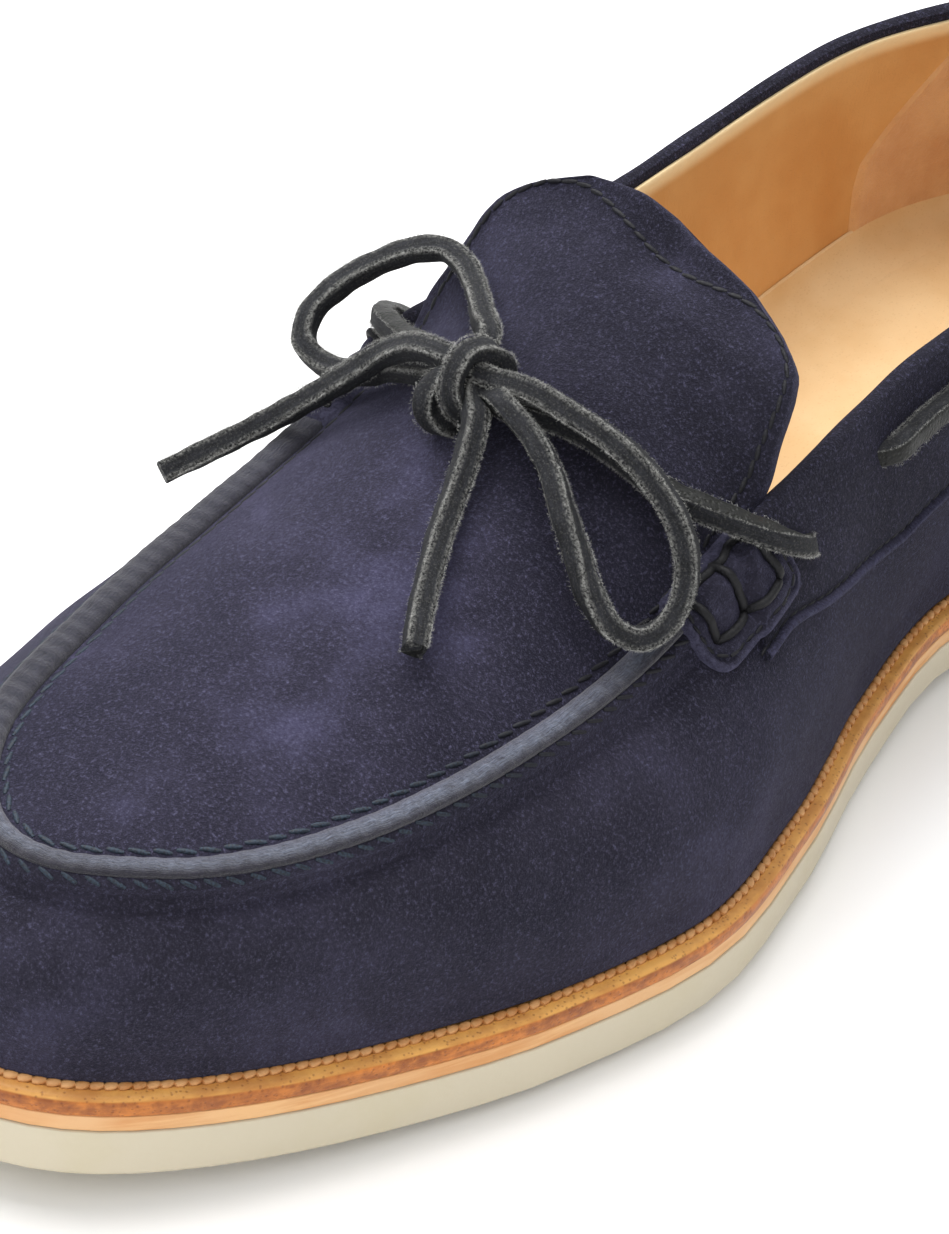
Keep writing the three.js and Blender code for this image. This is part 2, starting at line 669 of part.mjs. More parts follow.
add("side_tab_outer", tab(TAB_PLACES.outer), materials.suede);
add("side_tab_inner", tab(TAB_PLACES.inner), materials.suede);

// ---- Lace -------------------------------------------------------------------------------

// A plain round tube along the middle of a stretch of lace.
function lace(name, route) {
  const points = route.map(({ x, y, z }) => new THREE.Vector3(x, y, z));
  const path = new THREE.CatmullRomCurve3(points);
  const sides = Array.from({ length: 8 }, (_, i) => {
    const angle = (i * Math.PI) / 4;
    return new THREE.Vector2(Math.cos(angle), Math.sin(angle)).multiplyScalar(LACE_DIAMETER / 2);
  });
  const tube = new THREE.ExtrudeGeometry(new THREE.Shape(sides), {
    steps: Math.round(path.getLength() / (1.6 * LACE_DIAMETER)),
    bevelEnabled: false,
    extrudePath: path,
  });
  add(name, tube, materials.lace);
}
lace("lace_bar_outer", BAR_OUTER);
lace("lace_bar_inner", BAR_INNER);
lace("lace_loop_outer", LOOP_OUTER);
lace("lace_loop_inner", LOOP_INNER);
lace("lace_end_inner", END_INNER);
lace("lace_end_front", END_FRONT);

const knot = new THREE.SphereGeometry(1, 12, 8);
knot.scale(KNOT.halfWide, KNOT.halfLong, KNOT.halfHigh);
knot.translate(KNOT.x, KNOT.y, KNOT.z);
add("lace_knot", knot, materials.lace);

// A stretch along the collar, clear of the wall.
const besideWall = moved(upperOutside, LACE_DIAMETER / 2 + 2 * GAP, true);
function collarRoute(side) {
  const count = 8;
  return Array.from({ length: count + 1 }, (_, k) => {
    const place = THREE.MathUtils.lerp(COLLAR_LACE.from, COLLAR_LACE.to, k / count);
    const at = (i) => besideWall[side > 0 ? i : 2 * RIBS - i][COLLAR_LACE.column];
    return at(Math.floor(place)).clone().lerp(at(Math.floor(place) + 1), place % 1);
  });
}
lace("lace_collar_outer", collarRoute(1));
lace("lace_collar_inner", collarRoute(-1));

export default shoe;
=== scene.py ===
import math

import bmesh
import bpy
import numpy as np
from mathutils import Matrix, Vector
from mathutils.bvhtree import BVHTree


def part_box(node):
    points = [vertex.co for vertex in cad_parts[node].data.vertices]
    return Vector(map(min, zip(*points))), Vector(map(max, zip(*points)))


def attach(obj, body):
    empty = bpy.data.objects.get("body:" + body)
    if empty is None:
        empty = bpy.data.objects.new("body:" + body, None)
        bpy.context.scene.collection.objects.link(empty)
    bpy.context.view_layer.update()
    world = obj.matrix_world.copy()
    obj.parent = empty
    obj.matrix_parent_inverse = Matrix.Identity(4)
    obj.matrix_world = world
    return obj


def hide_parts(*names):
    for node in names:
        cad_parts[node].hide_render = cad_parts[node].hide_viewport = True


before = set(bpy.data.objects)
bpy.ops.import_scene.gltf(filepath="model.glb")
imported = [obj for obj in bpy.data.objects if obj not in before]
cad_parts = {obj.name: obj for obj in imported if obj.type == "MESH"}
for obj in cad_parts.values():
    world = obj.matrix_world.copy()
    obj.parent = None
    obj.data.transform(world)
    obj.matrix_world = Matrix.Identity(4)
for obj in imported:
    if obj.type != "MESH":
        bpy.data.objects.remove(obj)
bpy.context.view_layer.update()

# ---- Outsole ----------------------------------------------------------------------------
# The moulded unit that the shoe stands on: cream crepe rubber, smooth at the side, with its
# edges rounded by the mould. It is cemented to the midsole.

MM = 0.001


class Wire:
    """A socket of a material. Sums that are written on it add their Math nodes."""

    def __init__(self, socket):
        self.socket = socket

    def node(self, kind, settings, sockets, out=0):
        """Adds a node, sets it, fills or links its sockets, and returns one of its outputs."""
        tree = self.socket.id_data
        made = tree.nodes.new("ShaderNode" + kind)
        for key, value in settings.items():
            setattr(made, key, value)
        for key, value in sockets.items():
            if isinstance(value, Wire):
                tree.links.new(value.socket, made.inputs[key])
            else:
                made.inputs[key].default_value = value
        return Wire(made.outputs[out])

    def maths(self, operation, *others):
        sockets = dict(enumerate((self, *others)))
        return self.node("Math", {"operation": operation}, sockets)

    def __add__(self, other):
        return self.maths("ADD", other)

    def __sub__(self, other):
        return self.maths("SUBTRACT", other)

    def __mul__(self, other):
        return self.maths("MULTIPLY", other)

    __radd__, __rmul__ = __add__, __mul__

    def __rsub__(self, other):
        return self * -1 + other

    def axis(self, number):
        """One number of a place, X, Y or Z, or of a map, U or V."""
        return self.node("SeparateXYZ", {}, {0: self}, out=number)

    def step(self, low, high, start=0.0, end=1.0):
        """A soft step from start, where this is low, to end, where it is high."""
        settings = {"interpolation_type": "SMOOTHSTEP"}
        return self.node("MapRange", settings, {0: self, 1: low, 2: high, 3: start, 4: end})

    def blend(self, low, high):
        """A colour between two others, by this share of the second."""
        low, high = [x if isinstance(x, Wire) else colour(x) for x in (low, high)]
        return self.node("Mix", {"data_type": "RGBA"}, {0: self, 6: low, 7: high}, out=2)

    def noise(self, size, detail=2.0, roughness=0.5, stretch=(1, 1, 1)):
        """Noise whose lumps are about this many millimetres across, read at this place."""
        scale = tuple(1 / s for s in stretch)
        place = self.node("Mapping", {}, {"Vector": self, "Scale": scale})
        sockets = {"Vector": place, "Scale": 1 / (size * MM), "Detail": detail}
        return self.node("TexNoise", {}, {**sockets, "Roughness": roughness})

    def cells(self, size):
        """Distance to the nearest of many random points, this many millimetres apart."""
        return self.node("TexVoronoi", {}, {"Vector": self, "Scale": 1 / (size * MM)})


def colour(shade):
    """A screen colour such as "c08040" as the red, green, blue and alpha that shaders use."""
    levels = [int(shade[i : i + 2], 16) / 255 for i in (0, 2, 4)]
    return (*[x / 12.92 if x < 0.04045 else ((x + 0.055) / 1.055) ** 2.4 for x in levels], 1)


def finish(name, paint, **constants):
    """A material. paint(place, uv) gives its wires for Base Color, Roughness and bump height."""
    made = bpy.data.materials.new(name)
    made.use_nodes = True
    nodes = made.node_tree.nodes
    shader = nodes["Principled BSDF"]
    coordinates = nodes.new("ShaderNodeTexCoord")
    wires = paint(Wire(coordinates.outputs["Object"]), Wire(coordinates.outputs["UV"]))
    height = wires.pop("height")
    bump = height.node("Bump", {}, {"Strength": 1.0, "Distance": MM, "Height": height})
    for socket, wire in {**wires, "Normal": bump}.items():
        made.node_tree.links.new(wire.socket, shader.inputs[socket])
    for socket, value in constants.items():
        shader.inputs[socket.replace("_", " ")].default_value = value
    return made


def only(piece):
    """Selects one piece and nothing else."""
    bpy.ops.object.select_all(action="DESELECT")
    piece.select_set(True)
    bpy.context.view_layer.objects.active = piece


def modified(piece, kind, **settings):
    """Adds a modifier to a piece and applies it."""
    only(piece)
    modifier = piece.modifiers.new(kind.title(), kind)
    for key, value in settings.items():
        setattr(modifier, key, value)
    bpy.ops.object.modifier_apply(modifier=modifier.name)


def done(piece, material, slot, *nodes, smooth=40):
    """Gives a finished piece its material and its body, and hides the frame pieces it stands for."""
    piece.data.materials.clear()
    piece.data.materials.append(material)
    only(piece)
    bpy.ops.object.shade_smooth_by_angle(angle=math.radians(smooth))
    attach(piece, "root")
    if nodes:
        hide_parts(*nodes)


def fine_copy(name, node, rounding, grown=0):
    """A copy of a frame piece with its points merged and its edges rounded.

    Its top and underside are moved out by grown metres.
    """
    piece = bpy.data.objects.new(name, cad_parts[node].data.copy())
    bpy.context.scene.collection.objects.link(piece)
    only(piece)
    bpy.ops.object.mode_set(mode="EDIT")
    bpy.ops.mesh.select_all(action="SELECT")
    bpy.ops.mesh.remove_doubles(threshold=1e-5)
    bpy.ops.mesh.tris_convert_to_quads()
    bpy.ops.object.mode_set(mode="OBJECT")
    for point in [v for v in piece.data.vertices if abs(v.normal.z) > 0.2]:
        point.co.z += math.copysign(grown, point.normal.z)
    sharp = math.radians(35)
    modified(piece, "BEVEL", width=rounding, segments=4, limit_method="ANGLE", angle_limit=sharp)
    return piece


def rubber_paint(place, uv):
    scuffs = place.noise(18, 4).step(0.5, 0.72)
    tint = place.noise(45, 3).blend("d0c6b0", "c5bba3")
    grain = place.noise(0.8, 3)
    return {
        "Base Color": (scuffs * 0.35).blend(tint, "c2b796"),
        "Roughness": grain.step(0.2, 0.8, 0.5, 0.66),
        "height": grain * 0.03 + place.noise(6, 2) * 0.12,
    }


rubber = finish("cream_rubber", rubber_paint, Specular_IOR_Level=0.35)
done(fine_copy("outsole_unit", "outsole", 0.7 * MM), rubber, "rubber", "outsole")

# ---- Midsole ----------------------------------------------------------------------------
# A thin layer of pale vegetable-tanned leather board between the outsole and the welt. Its
# edge is trimmed flush and left almost bare.


def midsole_paint(place, uv):
    streaks = place.noise(3, 4, 0.6, (6, 6, 0.5))
    patches = place.noise(26, 3).step(0.35, 0.7)
    return {
        "Base Color": patches.blend(streaks.step(0.35, 0.65).blend("e2b27c", "cb8a4e"), "ddb080"),
        "Roughness": streaks.step(0.2, 0.8, 0.5, 0.7),
        "height": streaks * 0.06 + place.noise(0.5, 2) * 0.03,
    }


board = finish("pale_leather_board", midsole_paint, Specular_IOR_Level=0.35)
done(fine_copy("midsole_layer", "midsole", 0.2 * MM, 0.25 * MM), board, "midsole", "midsole")

# ---- Welt -------------------------------------------------------------------------------
# A strip of waxed tan leather round the shoe, with a burnished round edge and a flat ledge.
# A wheel has pressed its inner edge into a row of slanting beads against the upper.


def grid_of(node, start, onward, around):
    """The points of a tube-like frame piece as rows, each a ring round the piece's section.

    The point nearest to start is read first, its ring goes the way of around, and the rows
    follow each other the way of onward.
    """
    mesh = bmesh.new()
    mesh.from_mesh(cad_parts[node].data)
    bmesh.ops.remove_doubles(mesh, verts=mesh.verts, dist=1e-6)

    def fan(point):
        """The six neighbours of a point, in order round it."""
        order, loop = [], point.link_loops[0]
        while not order or loop != point.link_loops[0]:
            order.append(loop.edge.other_vert(point))
            loop = loop.link_loop_prev.link_loop_radial_next
        return order

    def beyond(before, point, turn=3):
        near = fan(point)
        return near[(near.index(before) + turn) % 6]

    def alignment(point, near, way):
        return (near.co - point.co).normalized().dot(Vector(way))

    first = min(mesh.verts, key=lambda point: (point.co - Vector(start)).length)
    ring = [first, max(fan(first), key=lambda near: alignment(first, near, around))]
    while beyond(ring[-2], ring[-1]) != first:
        ring.append(beyond(ring[-2], ring[-1]))
    turn = max((2, 4), key=lambda t: alignment(first, beyond(ring[1], first, t), onward))
    rows = [ring, [beyond(ring[(j + 1) % len(ring)], p, turn) for j, p in enumerate(ring)]]
    whole = False
    while not whole and all(len(fan(point)) == 6 for point in rows[-1]):
        following = [beyond(*pair) for pair in zip(rows[-2], rows[-1])]
        whole = following[0] == first
        if not whole:
            rows.append(following)
    while not whole and all(len(fan(point)) == 6 for point in rows[0]):
        rows.insert(0, [beyond(*pair) for pair in zip(rows[1], rows[0])])
    grid = np.array([[point.co[:] for point in row] for row in rows])
    mesh.free()
    return grid


def started(grid, axis, sign):
    """The grid with its rings turned to start just past their two lowest or widest points."""
    reach = sign * grid[:, :, axis].mean(0)
    return np.roll(grid, -int(np.argmin(reach + np.roll(reach, 1))), axis=1)


def spline(points, places, at, period=None):
    """A smooth curve through points that lie at rising places, read at the numbers in at."""
    if period:
        points = np.concatenate([points[-3:], points, points[:3]])
        places = np.concatenate([places[-3:] - period, places, places[:3] + period])
        at = np.mod(at, period)
    wide = (-1, *[1] * (points.ndim - 1))
    gaps = np.diff(places).reshape(wide)
    chords = np.diff(points, axis=0) / gaps
    middle = (chords[:-1] * gaps[1:] + chords[1:] * gaps[:-1]) / (gaps[1:] + gaps[:-1])
    slopes = np.concatenate([chords[:1], middle, chords[-1:]])
    i = np.clip(np.searchsorted(places, at, "right") - 1, 0, len(places) - 2)
    t = ((at - places[i]) / (places[i + 1] - places[i])).reshape(wide)
    even = points[i] * (2 * t**3 - 3 * t**2 + 1) + points[i + 1] * (3 * t**2 - 2 * t**3)
    lean = slopes[i] * (t**3 - 2 * t**2 + t) + slopes[i + 1] * (t**3 - t**2)
    return even + gaps[i] * lean


def laid(name, points, size=(1, 1)):
    """A sheet of quads over an array of points: its rows go up, and its columns across.

    Its map runs to size, in metres. Its faces look the way of across times up.
    """
    up, across = points.shape[:2]
    bpy.ops.object.select_all(action="DESELECT")
    bpy.ops.mesh.primitive_grid_add(x_subdivisions=across - 1, y_subdivisions=up - 1, size=2)
    piece = bpy.context.object
    piece.name = piece.data.name = name
    piece.data.vertices.foreach_set("co", points.astype(np.float32).ravel())
    chart = np.zeros(len(piece.data.loops) * 2, np.float32)
    piece.data.uv_layers[0].data.foreach_get("uv", chart)
    chart = chart.reshape(-1, 2) * np.array(size, np.float32)
    piece.data.uv_layers[0].data.foreach_set("uv", chart.astype(np.float32).ravel())
    piece.data.update()
    return piece


def closed(piece):
    """Joins a sheet where it meets itself, closes its ends and turns its faces outwards."""
    only(piece)
    bpy.ops.object.mode_set(mode="EDIT")
    bpy.ops.mesh.select_all(action="SELECT")
    bpy.ops.mesh.remove_doubles(threshold=2e-6)
    bpy.ops.mesh.select_all(action="DESELECT")
    bpy.ops.mesh.select_mode(type="EDGE")
    bpy.ops.mesh.select_non_manifold(extend=False)
    bpy.ops.mesh.fill_holes(sides=0)
    bpy.ops.mesh.select_mode(type="VERT")
    bpy.ops.mesh.select_all(action="SELECT")
    bpy.ops.mesh.normals_make_consistent(inside=False)
    bpy.ops.object.mode_set(mode="OBJECT")
    return piece


def unit(vectors):
    return vectors / np.maximum(np.linalg.norm(vectors, axis=-1, keepdims=True), 1e-12)


def lengths(line):
    """The distance along a line of points to each of them."""
    return np.concatenate([[0], np.cumsum(np.linalg.norm(np.diff(line, axis=0), axis=1))])


def evenly(line, pitch):
    """Points along a line of points, the pitch apart or a little less."""
    far = lengths(line)
    at = np.linspace(0, far[-1], max(2, int(math.ceil(far[-1] / pitch)) + 1))
    return spline(line, far, at)


def tangents(line):
    return unit(np.gradient(line, axis=0))


def repeated(name, pattern, places, forwards, ups, sizes=None):
    """One mesh of many copies of a small pattern, its X laid along forwards and its Z up."""
    points = np.array([v.co[:] for v in pattern.data.vertices])
    faces = [np.array(f.vertices[:]) for f in pattern.data.polygons]
    bpy.data.objects.remove(pattern)
    sides = unit(np.cross(ups, forwards))
    ups = unit(np.cross(forwards, sides))
    sizes = np.ones((len(places), 3)) if sizes is None else sizes
    moved = np.zeros((len(places), len(points), 3))
    for k, axis in enumerate((forwards, sides, ups)):
        moved += (points[None, :, k] * sizes[:, k, None])[:, :, None] * axis[:, None]
    moved = (moved + places[:, None]).reshape(-1, 3)
    starts = np.arange(len(places)) * len(points)
    copies = [(face + start).tolist() for start in starts for face in faces]
    mesh = bpy.data.meshes.new(name)
    mesh.from_pydata(moved.tolist(), [], copies)
    piece = bpy.data.objects.new(name, mesh)
    bpy.context.scene.collection.objects.link(piece)
    return piece


def pebble(long, wide, high):
    """A small rounded block, lying along X, for what repeats, such as a stitch or a bead."""
    bpy.ops.object.select_all(action="DESELECT")
    bpy.ops.mesh.primitive_uv_sphere_add(segments=8, ring_count=5, radius=0.5)
    piece = bpy.context.object
    bpy.ops.object.mode_set(mode="EDIT")
    bpy.ops.transform.rotate(value=math.pi / 2, orient_axis="Y", center_override=(0, 0, 0))
    bpy.ops.object.mode_set(mode="OBJECT")
    for point in piece.data.vertices:
        x, y, z = point.co
        square = 0.5 / max(0.42, abs(x), abs(y), abs(z)) * 1.1
        point.co = (x * long * square, y * wide * square, z * high * square)
    return piece


LEDGE = 3.3  # from the sole's edge in to the upper, in mm
SEATED = 8  # from there on in, under the upper
WELT_SECTION = [  # how far in from the sole's edge and how high, in mm
    (11.2, 0.0), (0.7, 0.0), (0.2, 0.25), (0.0, 0.9), (0.0, 2.1), (0.12, 2.7), (0.4, 3.1),
    (0.9, 3.3), (2.0, 3.35), (2.2, 3.15), (2.4, 3.2), (2.8, 3.3), (3.3, 3.3), (11.2, 3.3),
    (11.2, 0.0),
]
BEAD_PLACE = (2.62, 3.55)  # in the same section
BEAD_PITCH = 1.95 * MM
BEAD_SLANT = 0.35

welt_rows = started(grid_of("welt", (0.047, 0, 0.0143), (0, -1, 0), (0, 0, 1)), 2, 1)


def welt_line(u, inset, up):
    """Points at shares u of the way round the welt, at a place of its section in mm."""
    rows = spline(welt_rows, np.arange(len(welt_rows)), u * len(welt_rows), len(welt_rows))
    edge, seat, inner = rows[:, 1], rows[:, 7], rows[:, 9]
    line = edge + (seat - edge) * min(inset, LEDGE) / LEDGE
    line += (inner - seat) * max(inset - LEDGE, 0) / SEATED
    line[:, 2] = rows[:, 0, 2] + up * MM
    return line


def welt_paint(place, uv):
    across = uv.axis(1)
    streaks = place.noise(4, 5, 0.65, (2.4, 2.4, 0.5))
    mottle = place.noise(1.5, 3, 0.6)
    pores = place.cells(0.8).step(0.1, 0.34, 1, 0)
    stain = place.noise(22, 3).step(0.4, 0.7)
    edge = (streaks * 0.6 + mottle * 0.4).step(0.35, 0.65).blend("8c4a12", "d07e30")
    ledge = streaks.step(0.3, 0.7).blend("dda456", "b87c3c")
    corners = len(WELT_SECTION) - 1
    on_ledge = across.step(4.9 / corners, 5.7 / corners)
    paint = on_ledge.blend((stain * 0.35).blend(edge, "7c3d15"), ledge)
    return {
        "Base Color": (pores * 0.45).blend(paint, "6b3312"),
        "Roughness": streaks.step(0.2, 0.8, 0.34, 0.52),
        "height": streaks * 0.15 + mottle * 0.08 - pores * 0.05,
    }


waxed = finish("waxed_tan_leather", welt_paint, Specular_IOR_Level=0.4)
around = np.linspace(0, 1, 520)
welt_strip = laid("welt_strip", np.array([welt_line(around, *place) for place in WELT_SECTION]))
done(closed(welt_strip), waxed, "welt", "welt")


def bead_paint(place, uv):
    mottle = place.noise(2.5, 3, 0.6)
    return {
        "Base Color": mottle.step(0.3, 0.7).blend("b67a41", "d29d66"),
        "Roughness": mottle.step(0.2, 0.8, 0.45, 0.6),
        "height": place.noise(0.4, 2) * 0.08,
    }


bead_row = evenly(welt_line(np.linspace(0, 1, 900), *BEAD_PLACE), BEAD_PITCH)[:-1]
bead_ways = tangents(bead_row)
leaning = unit(bead_ways + np.cross((0, 0, 1), bead_ways) * BEAD_SLANT)
uprights = np.tile([0.0, 0.0, 1.0], (len(bead_row), 1))
beads = repeated("welt_beads", pebble(1.85 * MM, 1.25 * MM, 0.9 * MM), bead_row, leaning, uprights)
done(beads, finish("beaded_tan_leather", bead_paint), "welt", smooth=60)

# ---- Insole -----------------------------------------------------------------------------
# A full sock of natural vegetable-tanned leather, glued down inside. It is left unmarked,
# and its colour and shine change a little from place to place.


def insole_paint(place, uv):
    cloud = place.noise(30, 4, 0.55)
    pores = place.cells(0.7).step(0.08, 0.3, 1, 0)
    leather = cloud.step(0.3, 0.7).blend("e0c497", "d3b07e")
    return {
        "Base Color": (pores * 0.18).blend(leather, "b98f5b"),
        "Roughness": cloud.step(0.3, 0.7, 0.46, 0.6),
        "height": place.noise(0.5, 2) * 0.05 - pores * 0.04,
    }


sock = finish("natural_leather", insole_paint, Specular_IOR_Level=0.35)
done(fine_copy("insole_sock", "insole", 0.6 * MM), sock, "insole", "insole")

# ---- Upper ------------------------------------------------------------------------------
# The wall of the shoe: navy suede in one piece round the foot, drawn over the last and
# fixed under the welt. Its top edge is folded in at the collar, so that no raw edge shows.

upper_rows = started(grid_of("upper", (0.05, 0, 0.04), (0, -1, 0), (0, 0, 1)), 2, 1)
upper_rows = np.roll(upper_rows, -int(np.argmax(upper_rows[:, 9, 1])), axis=0)
rings = np.concatenate([upper_rows, upper_rows[:, :1]], axis=1)
section_places = np.mean([lengths(ring) for ring in rings], axis=0)
ROWS_ROUND, RING = upper_rows.shape[:2]


def upper_grid(us, columns):
    """The upper at shares us of the way round from the heel, and at columns of its section."""
    rows = spline(upper_rows, np.arange(ROWS_ROUND), us * ROWS_ROUND, ROWS_ROUND).swapaxes(0, 1)
    at = np.interp(columns, np.arange(RING + 1), section_places)
    return spline(rows, section_places[:RING], at, section_places[RING])


FINER = 12  # steps to each step of the frame's own grid
RIM_ROW = 114  # the fine row along the middle of the rim
FINE_ROUND = np.linspace(0, 1, ROWS_ROUND * FINER + 1)
FINE_COLUMNS = np.linspace(0, RING - 1, (RING - 1) * FINER + 1)
fine = upper_grid(FINE_ROUND, FINE_COLUMNS)
fine_down = np.linalg.norm(np.diff(fine, axis=0), axis=2).cumsum(0)
fine_down = np.concatenate([np.zeros((1, len(FINE_ROUND))), fine_down])
fine_down = fine_down[RIM_ROW] - fine_down
rim = fine[RIM_ROW]


def below_rim(us, depths):
    """Points of the upper at depths in metres from the rim, down its outside.

    Where a depth is less than 0, the point is that far down the inside.
    """
    last = len(FINE_ROUND) - 1
    columns = np.clip((np.mod(us, 1) * last).astype(int), 0, last - 1)
    part = np.mod(us, 1) * last - columns
    found = []
    for k, t, depth in zip(columns, part, np.broadcast_to(depths, np.shape(us))):
        ends = []
        for column in (k, k + 1):
            rising = fine_down[::-1, column]
            ends.append([np.interp(depth, rising, fine[::-1, column, axis]) for axis in range(3)])
        found.append(np.array(ends[0]) * (1 - t) + np.array(ends[1]) * t)
    return np.array(found)


def share(y, side):
    """The share of the way round at which the rim has this y, in mm, on side 1 or -1."""
    toe = len(FINE_ROUND) // 2
    half = slice(0, toe + 1) if side > 0 else slice(toe, None)
    order = np.argsort(rim[half, 1])
    return float(np.interp(y * MM, rim[half, 1][order], FINE_ROUND[half][order]))


def normals(grid):
    """The unit normals of an array of points, the way of across times up."""
    return unit(np.cross(np.gradient(grid, axis=1), np.gradient(grid, axis=0)))


def bump(x, width):
    """A smooth hump of height 1 and about this width."""
    return np.exp(-((x / (width / 2)) ** 2))


def nap(place, dark, middle, light, bright):
    """Suede's colour and bump: nap in lighter and darker patches, with fine bright fibres."""
    clouds = place.noise(38, 3, 0.55) * 0.7 + place.noise(10, 4, 0.6) * 0.3
    fibres = place.noise(0.55, 4, 0.85)
    short = place.noise(0.3, 2, 0.6)
    paint = clouds.step(0.34, 0.62).blend(dark, middle)
    paint = (clouds.step(0.52, 0.74) * 0.8).blend(paint, light)
    paint = (fibres.step(0.5, 0.72) * 0.62).blend(paint, bright)
    paint = (fibres.step(0.5, 0.3) * 0.6).blend(paint, "16151f")
    return paint, fibres * 0.4 + short * 0.2 + clouds * 0.4


def suede_finish(name, front, back, shades, sheen):
    """Suede whose four shades each darken between front and back, in y, as painted shade."""

    def paint(place, uv):
        # Painted shade: the shades darken from the front to the back.
        rear_shade = place.axis(1).step(front, back)
        napped, height = nap(place, *[rear_shade.blend(*pair) for pair in shades])
        rough = place.noise(1.5, 2).step(0.2, 0.8, 0.85, 1.0)
        return {"Base Color": napped, "Roughness": rough, "height": height}

    return finish(name, paint, Specular_IOR_Level=0.15, Sheen_Weight=sheen, **SHEEN)


SHEEN = {"Sheen_Roughness": 0.4, "Sheen_Tint": colour("9a98c0")}
# Dark, middle, light and bright shades, front to back; the back is darker as painted shade.
WALL_SHADES = [
    ("1c1b25", "14131a"), ("2a2834", "1e1d27"), ("403e53", "302e3f"), ("5e5d78", "5a5976"),
]
suede = suede_finish("navy_suede", -0.06, 0.03, WALL_SHADES, 0.2)
around = np.linspace(0, 1, 561)
columns = np.concatenate([
    np.linspace(0, 6, 30), np.linspace(6, 7, 10)[1:], np.linspace(7, 12, 21)[1:],
    np.linspace(12, 19, 18)[1:], [20],
])
wall = upper_grid(around, columns)
out = normals(wall)
soft = np.sin(wall[..., 1] * 105 + 1.3) * np.sin(wall[..., 2] * 160 + wall[..., 0] * 40)
soft += 0.6 * np.sin(wall[..., 1] * 230 + wall[..., 2] * 120)
WALL_CREASES = [  # y, lean, width, z and height in metres, and depth in mm
    (-0.052, 0.5, 0.013, 0.036, 0.03, -0.5),
    (-0.036, 0.6, 0.010, 0.034, 0.03, 0.35),
    (-0.070, 0.3, 0.012, 0.033, 0.024, 0.3),
    (0.034, -0.3, 0.016, 0.044, 0.03, -0.35),
]
creases = 0
for y, lean, wide, z, tall, deep in WALL_CREASES:
    across = bump(wall[..., 1] - (y + lean * (wall[..., 2] - 0.04)), wide)
    creases = creases + deep * across * bump(wall[..., 2] - z, tall)
keep = bump(columns - 4, 8)[:, None] * (columns < 8)[:, None]
seam_part = np.clip((-0.026 - wall[0, :, 1]) / 0.006, 0, 1)
trough = 0.5 * bump(columns - 6.86, 0.4)[:, None] * seam_part
wall = wall + out * (((0.16 * soft + creases) * keep - trough) * MM)[..., None]
upper_wall = laid("upper_suede", wall, (0.72, 0.12))
done(closed(upper_wall), suede, "suede", "upper")

# ---- Lining -----------------------------------------------------------------------------
# Smooth calf leather the colour of biscuit, cut a little lower than the rim and stitched to
# the suede folded over it. Its cut edge shows pale along the whole collar.

LINING_TOP = 2.5 * MM
LINING_THICK = 1.0 * MM
LINING_STEPS = 40


def charted(piece, us, vs):
    """Gives every vertex of a piece its own map place."""
    corners = np.zeros(len(piece.data.loops), np.int32)
    piece.data.loops.foreach_get("vertex_index", corners)
    chart = np.stack([np.ravel(us)[corners], np.ravel(vs)[corners]], axis=1)
    if not piece.data.uv_layers:
        piece.data.uv_layers.new(name="UVMap")
    piece.data.uv_layers[0].data.foreach_set("uv", chart.astype(np.float32).ravel())


def inside_wall(us, part, lower=0):
    """Points inside the wall, this part of the way from the lining's top down to its foot."""
    foot = np.interp(np.mod(us, 1), FINE_ROUND, fine_down[-1]) + 0.8 * MM
    return below_rim(us, -(LINING_TOP + lower + part * (-foot - LINING_TOP)))


def lining_paint(place, uv):
    down = uv.axis(1)
    cloud = place.noise(26, 3, 0.55)
    pores = place.cells(0.55).step(0.06, 0.3, 1, 0)
    wrinkles = place.noise(7, 4, 0.6, (0.5, 0.5, 2.2))
    leather = cloud.step(0.3, 0.7).blend("d6a86e", "c99559")
    raw = down.step(1.2, 3.2, 0.9, 0)
    paint = raw.blend((pores * 0.15).blend(leather, "a8773f"), "eed6a8")
    return {
        "Base Color": paint,
        "Roughness": cloud.step(0.3, 0.7, 0.42, 0.56),
        "height": wrinkles * 0.22 + place.noise(0.6, 2) * 0.05 - pores * 0.04,
    }


depths = np.linspace(0, 1, LINING_STEPS)
face = np.array([inside_wall(around, part) for part in depths])
inward = normals(face)
inward *= np.sign((inward[10] * (np.array([0.003, 0.0, 0.0]) - face[10])).sum(-1).mean())
down_way = unit(face[1] - face[0])
section = list((face + inward * 0.05 * MM)[::-1])
for lift in (0.25, 0.75):
    section.append(face[0] + (inward[0] * lift - down_way * 0.35) * MM)
section += list(face + inward * LINING_THICK)
section = np.array(section)
lining = laid("lining", section)
chart = np.concatenate([np.full(LINING_STEPS, 8), [0, 0], depths * 50 + 0.3])
charted(lining, np.tile(around * 700, len(chart)), np.repeat(chart, len(around)))
calf = finish("biscuit_calf", lining_paint, Specular_IOR_Level=0.4)
done(closed(lining), calf, "insole")

# ---- Insole edge ------------------------------------------------------------------------
# The sock is cut larger than the floor of the shoe, and its edge curls up against the lining
# all round. It is the same natural leather.

CURL = [  # how far above the sock and how far in from the lining, in mm
    (4.6, 0.9), (4.9, 1.3), (4.7, 1.75), (3.2, 2.3), (1.9, 3.4), (1.0, 5.2), (0.45, 7.5),
    (-0.1, 10.5), (-0.9, 10.5), (-0.9, 1.0),
]
sock_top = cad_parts["insole"].data
top_ys, top_zs = np.array([v.co[1:] for v in sock_top.vertices if v.co.z > 0.018]).T
order = np.argsort(top_ys)
levels = np.interp(face[-1][:, 1], top_ys[order], np.maximum.accumulate(top_zs[order]))
flatter_front = np.interp(face[-1][:, 1], [-0.02, 0.03], [0.5, 1])
flat_in = unit(inward[25] * (1, 1, 0))[:-1]
for k in range(60):
    flat_in = unit(np.roll(flat_in, 1, axis=0) + 2 * flat_in + np.roll(flat_in, -1, axis=0))
flat_in = np.concatenate([flat_in, flat_in[:1]])
curl = []
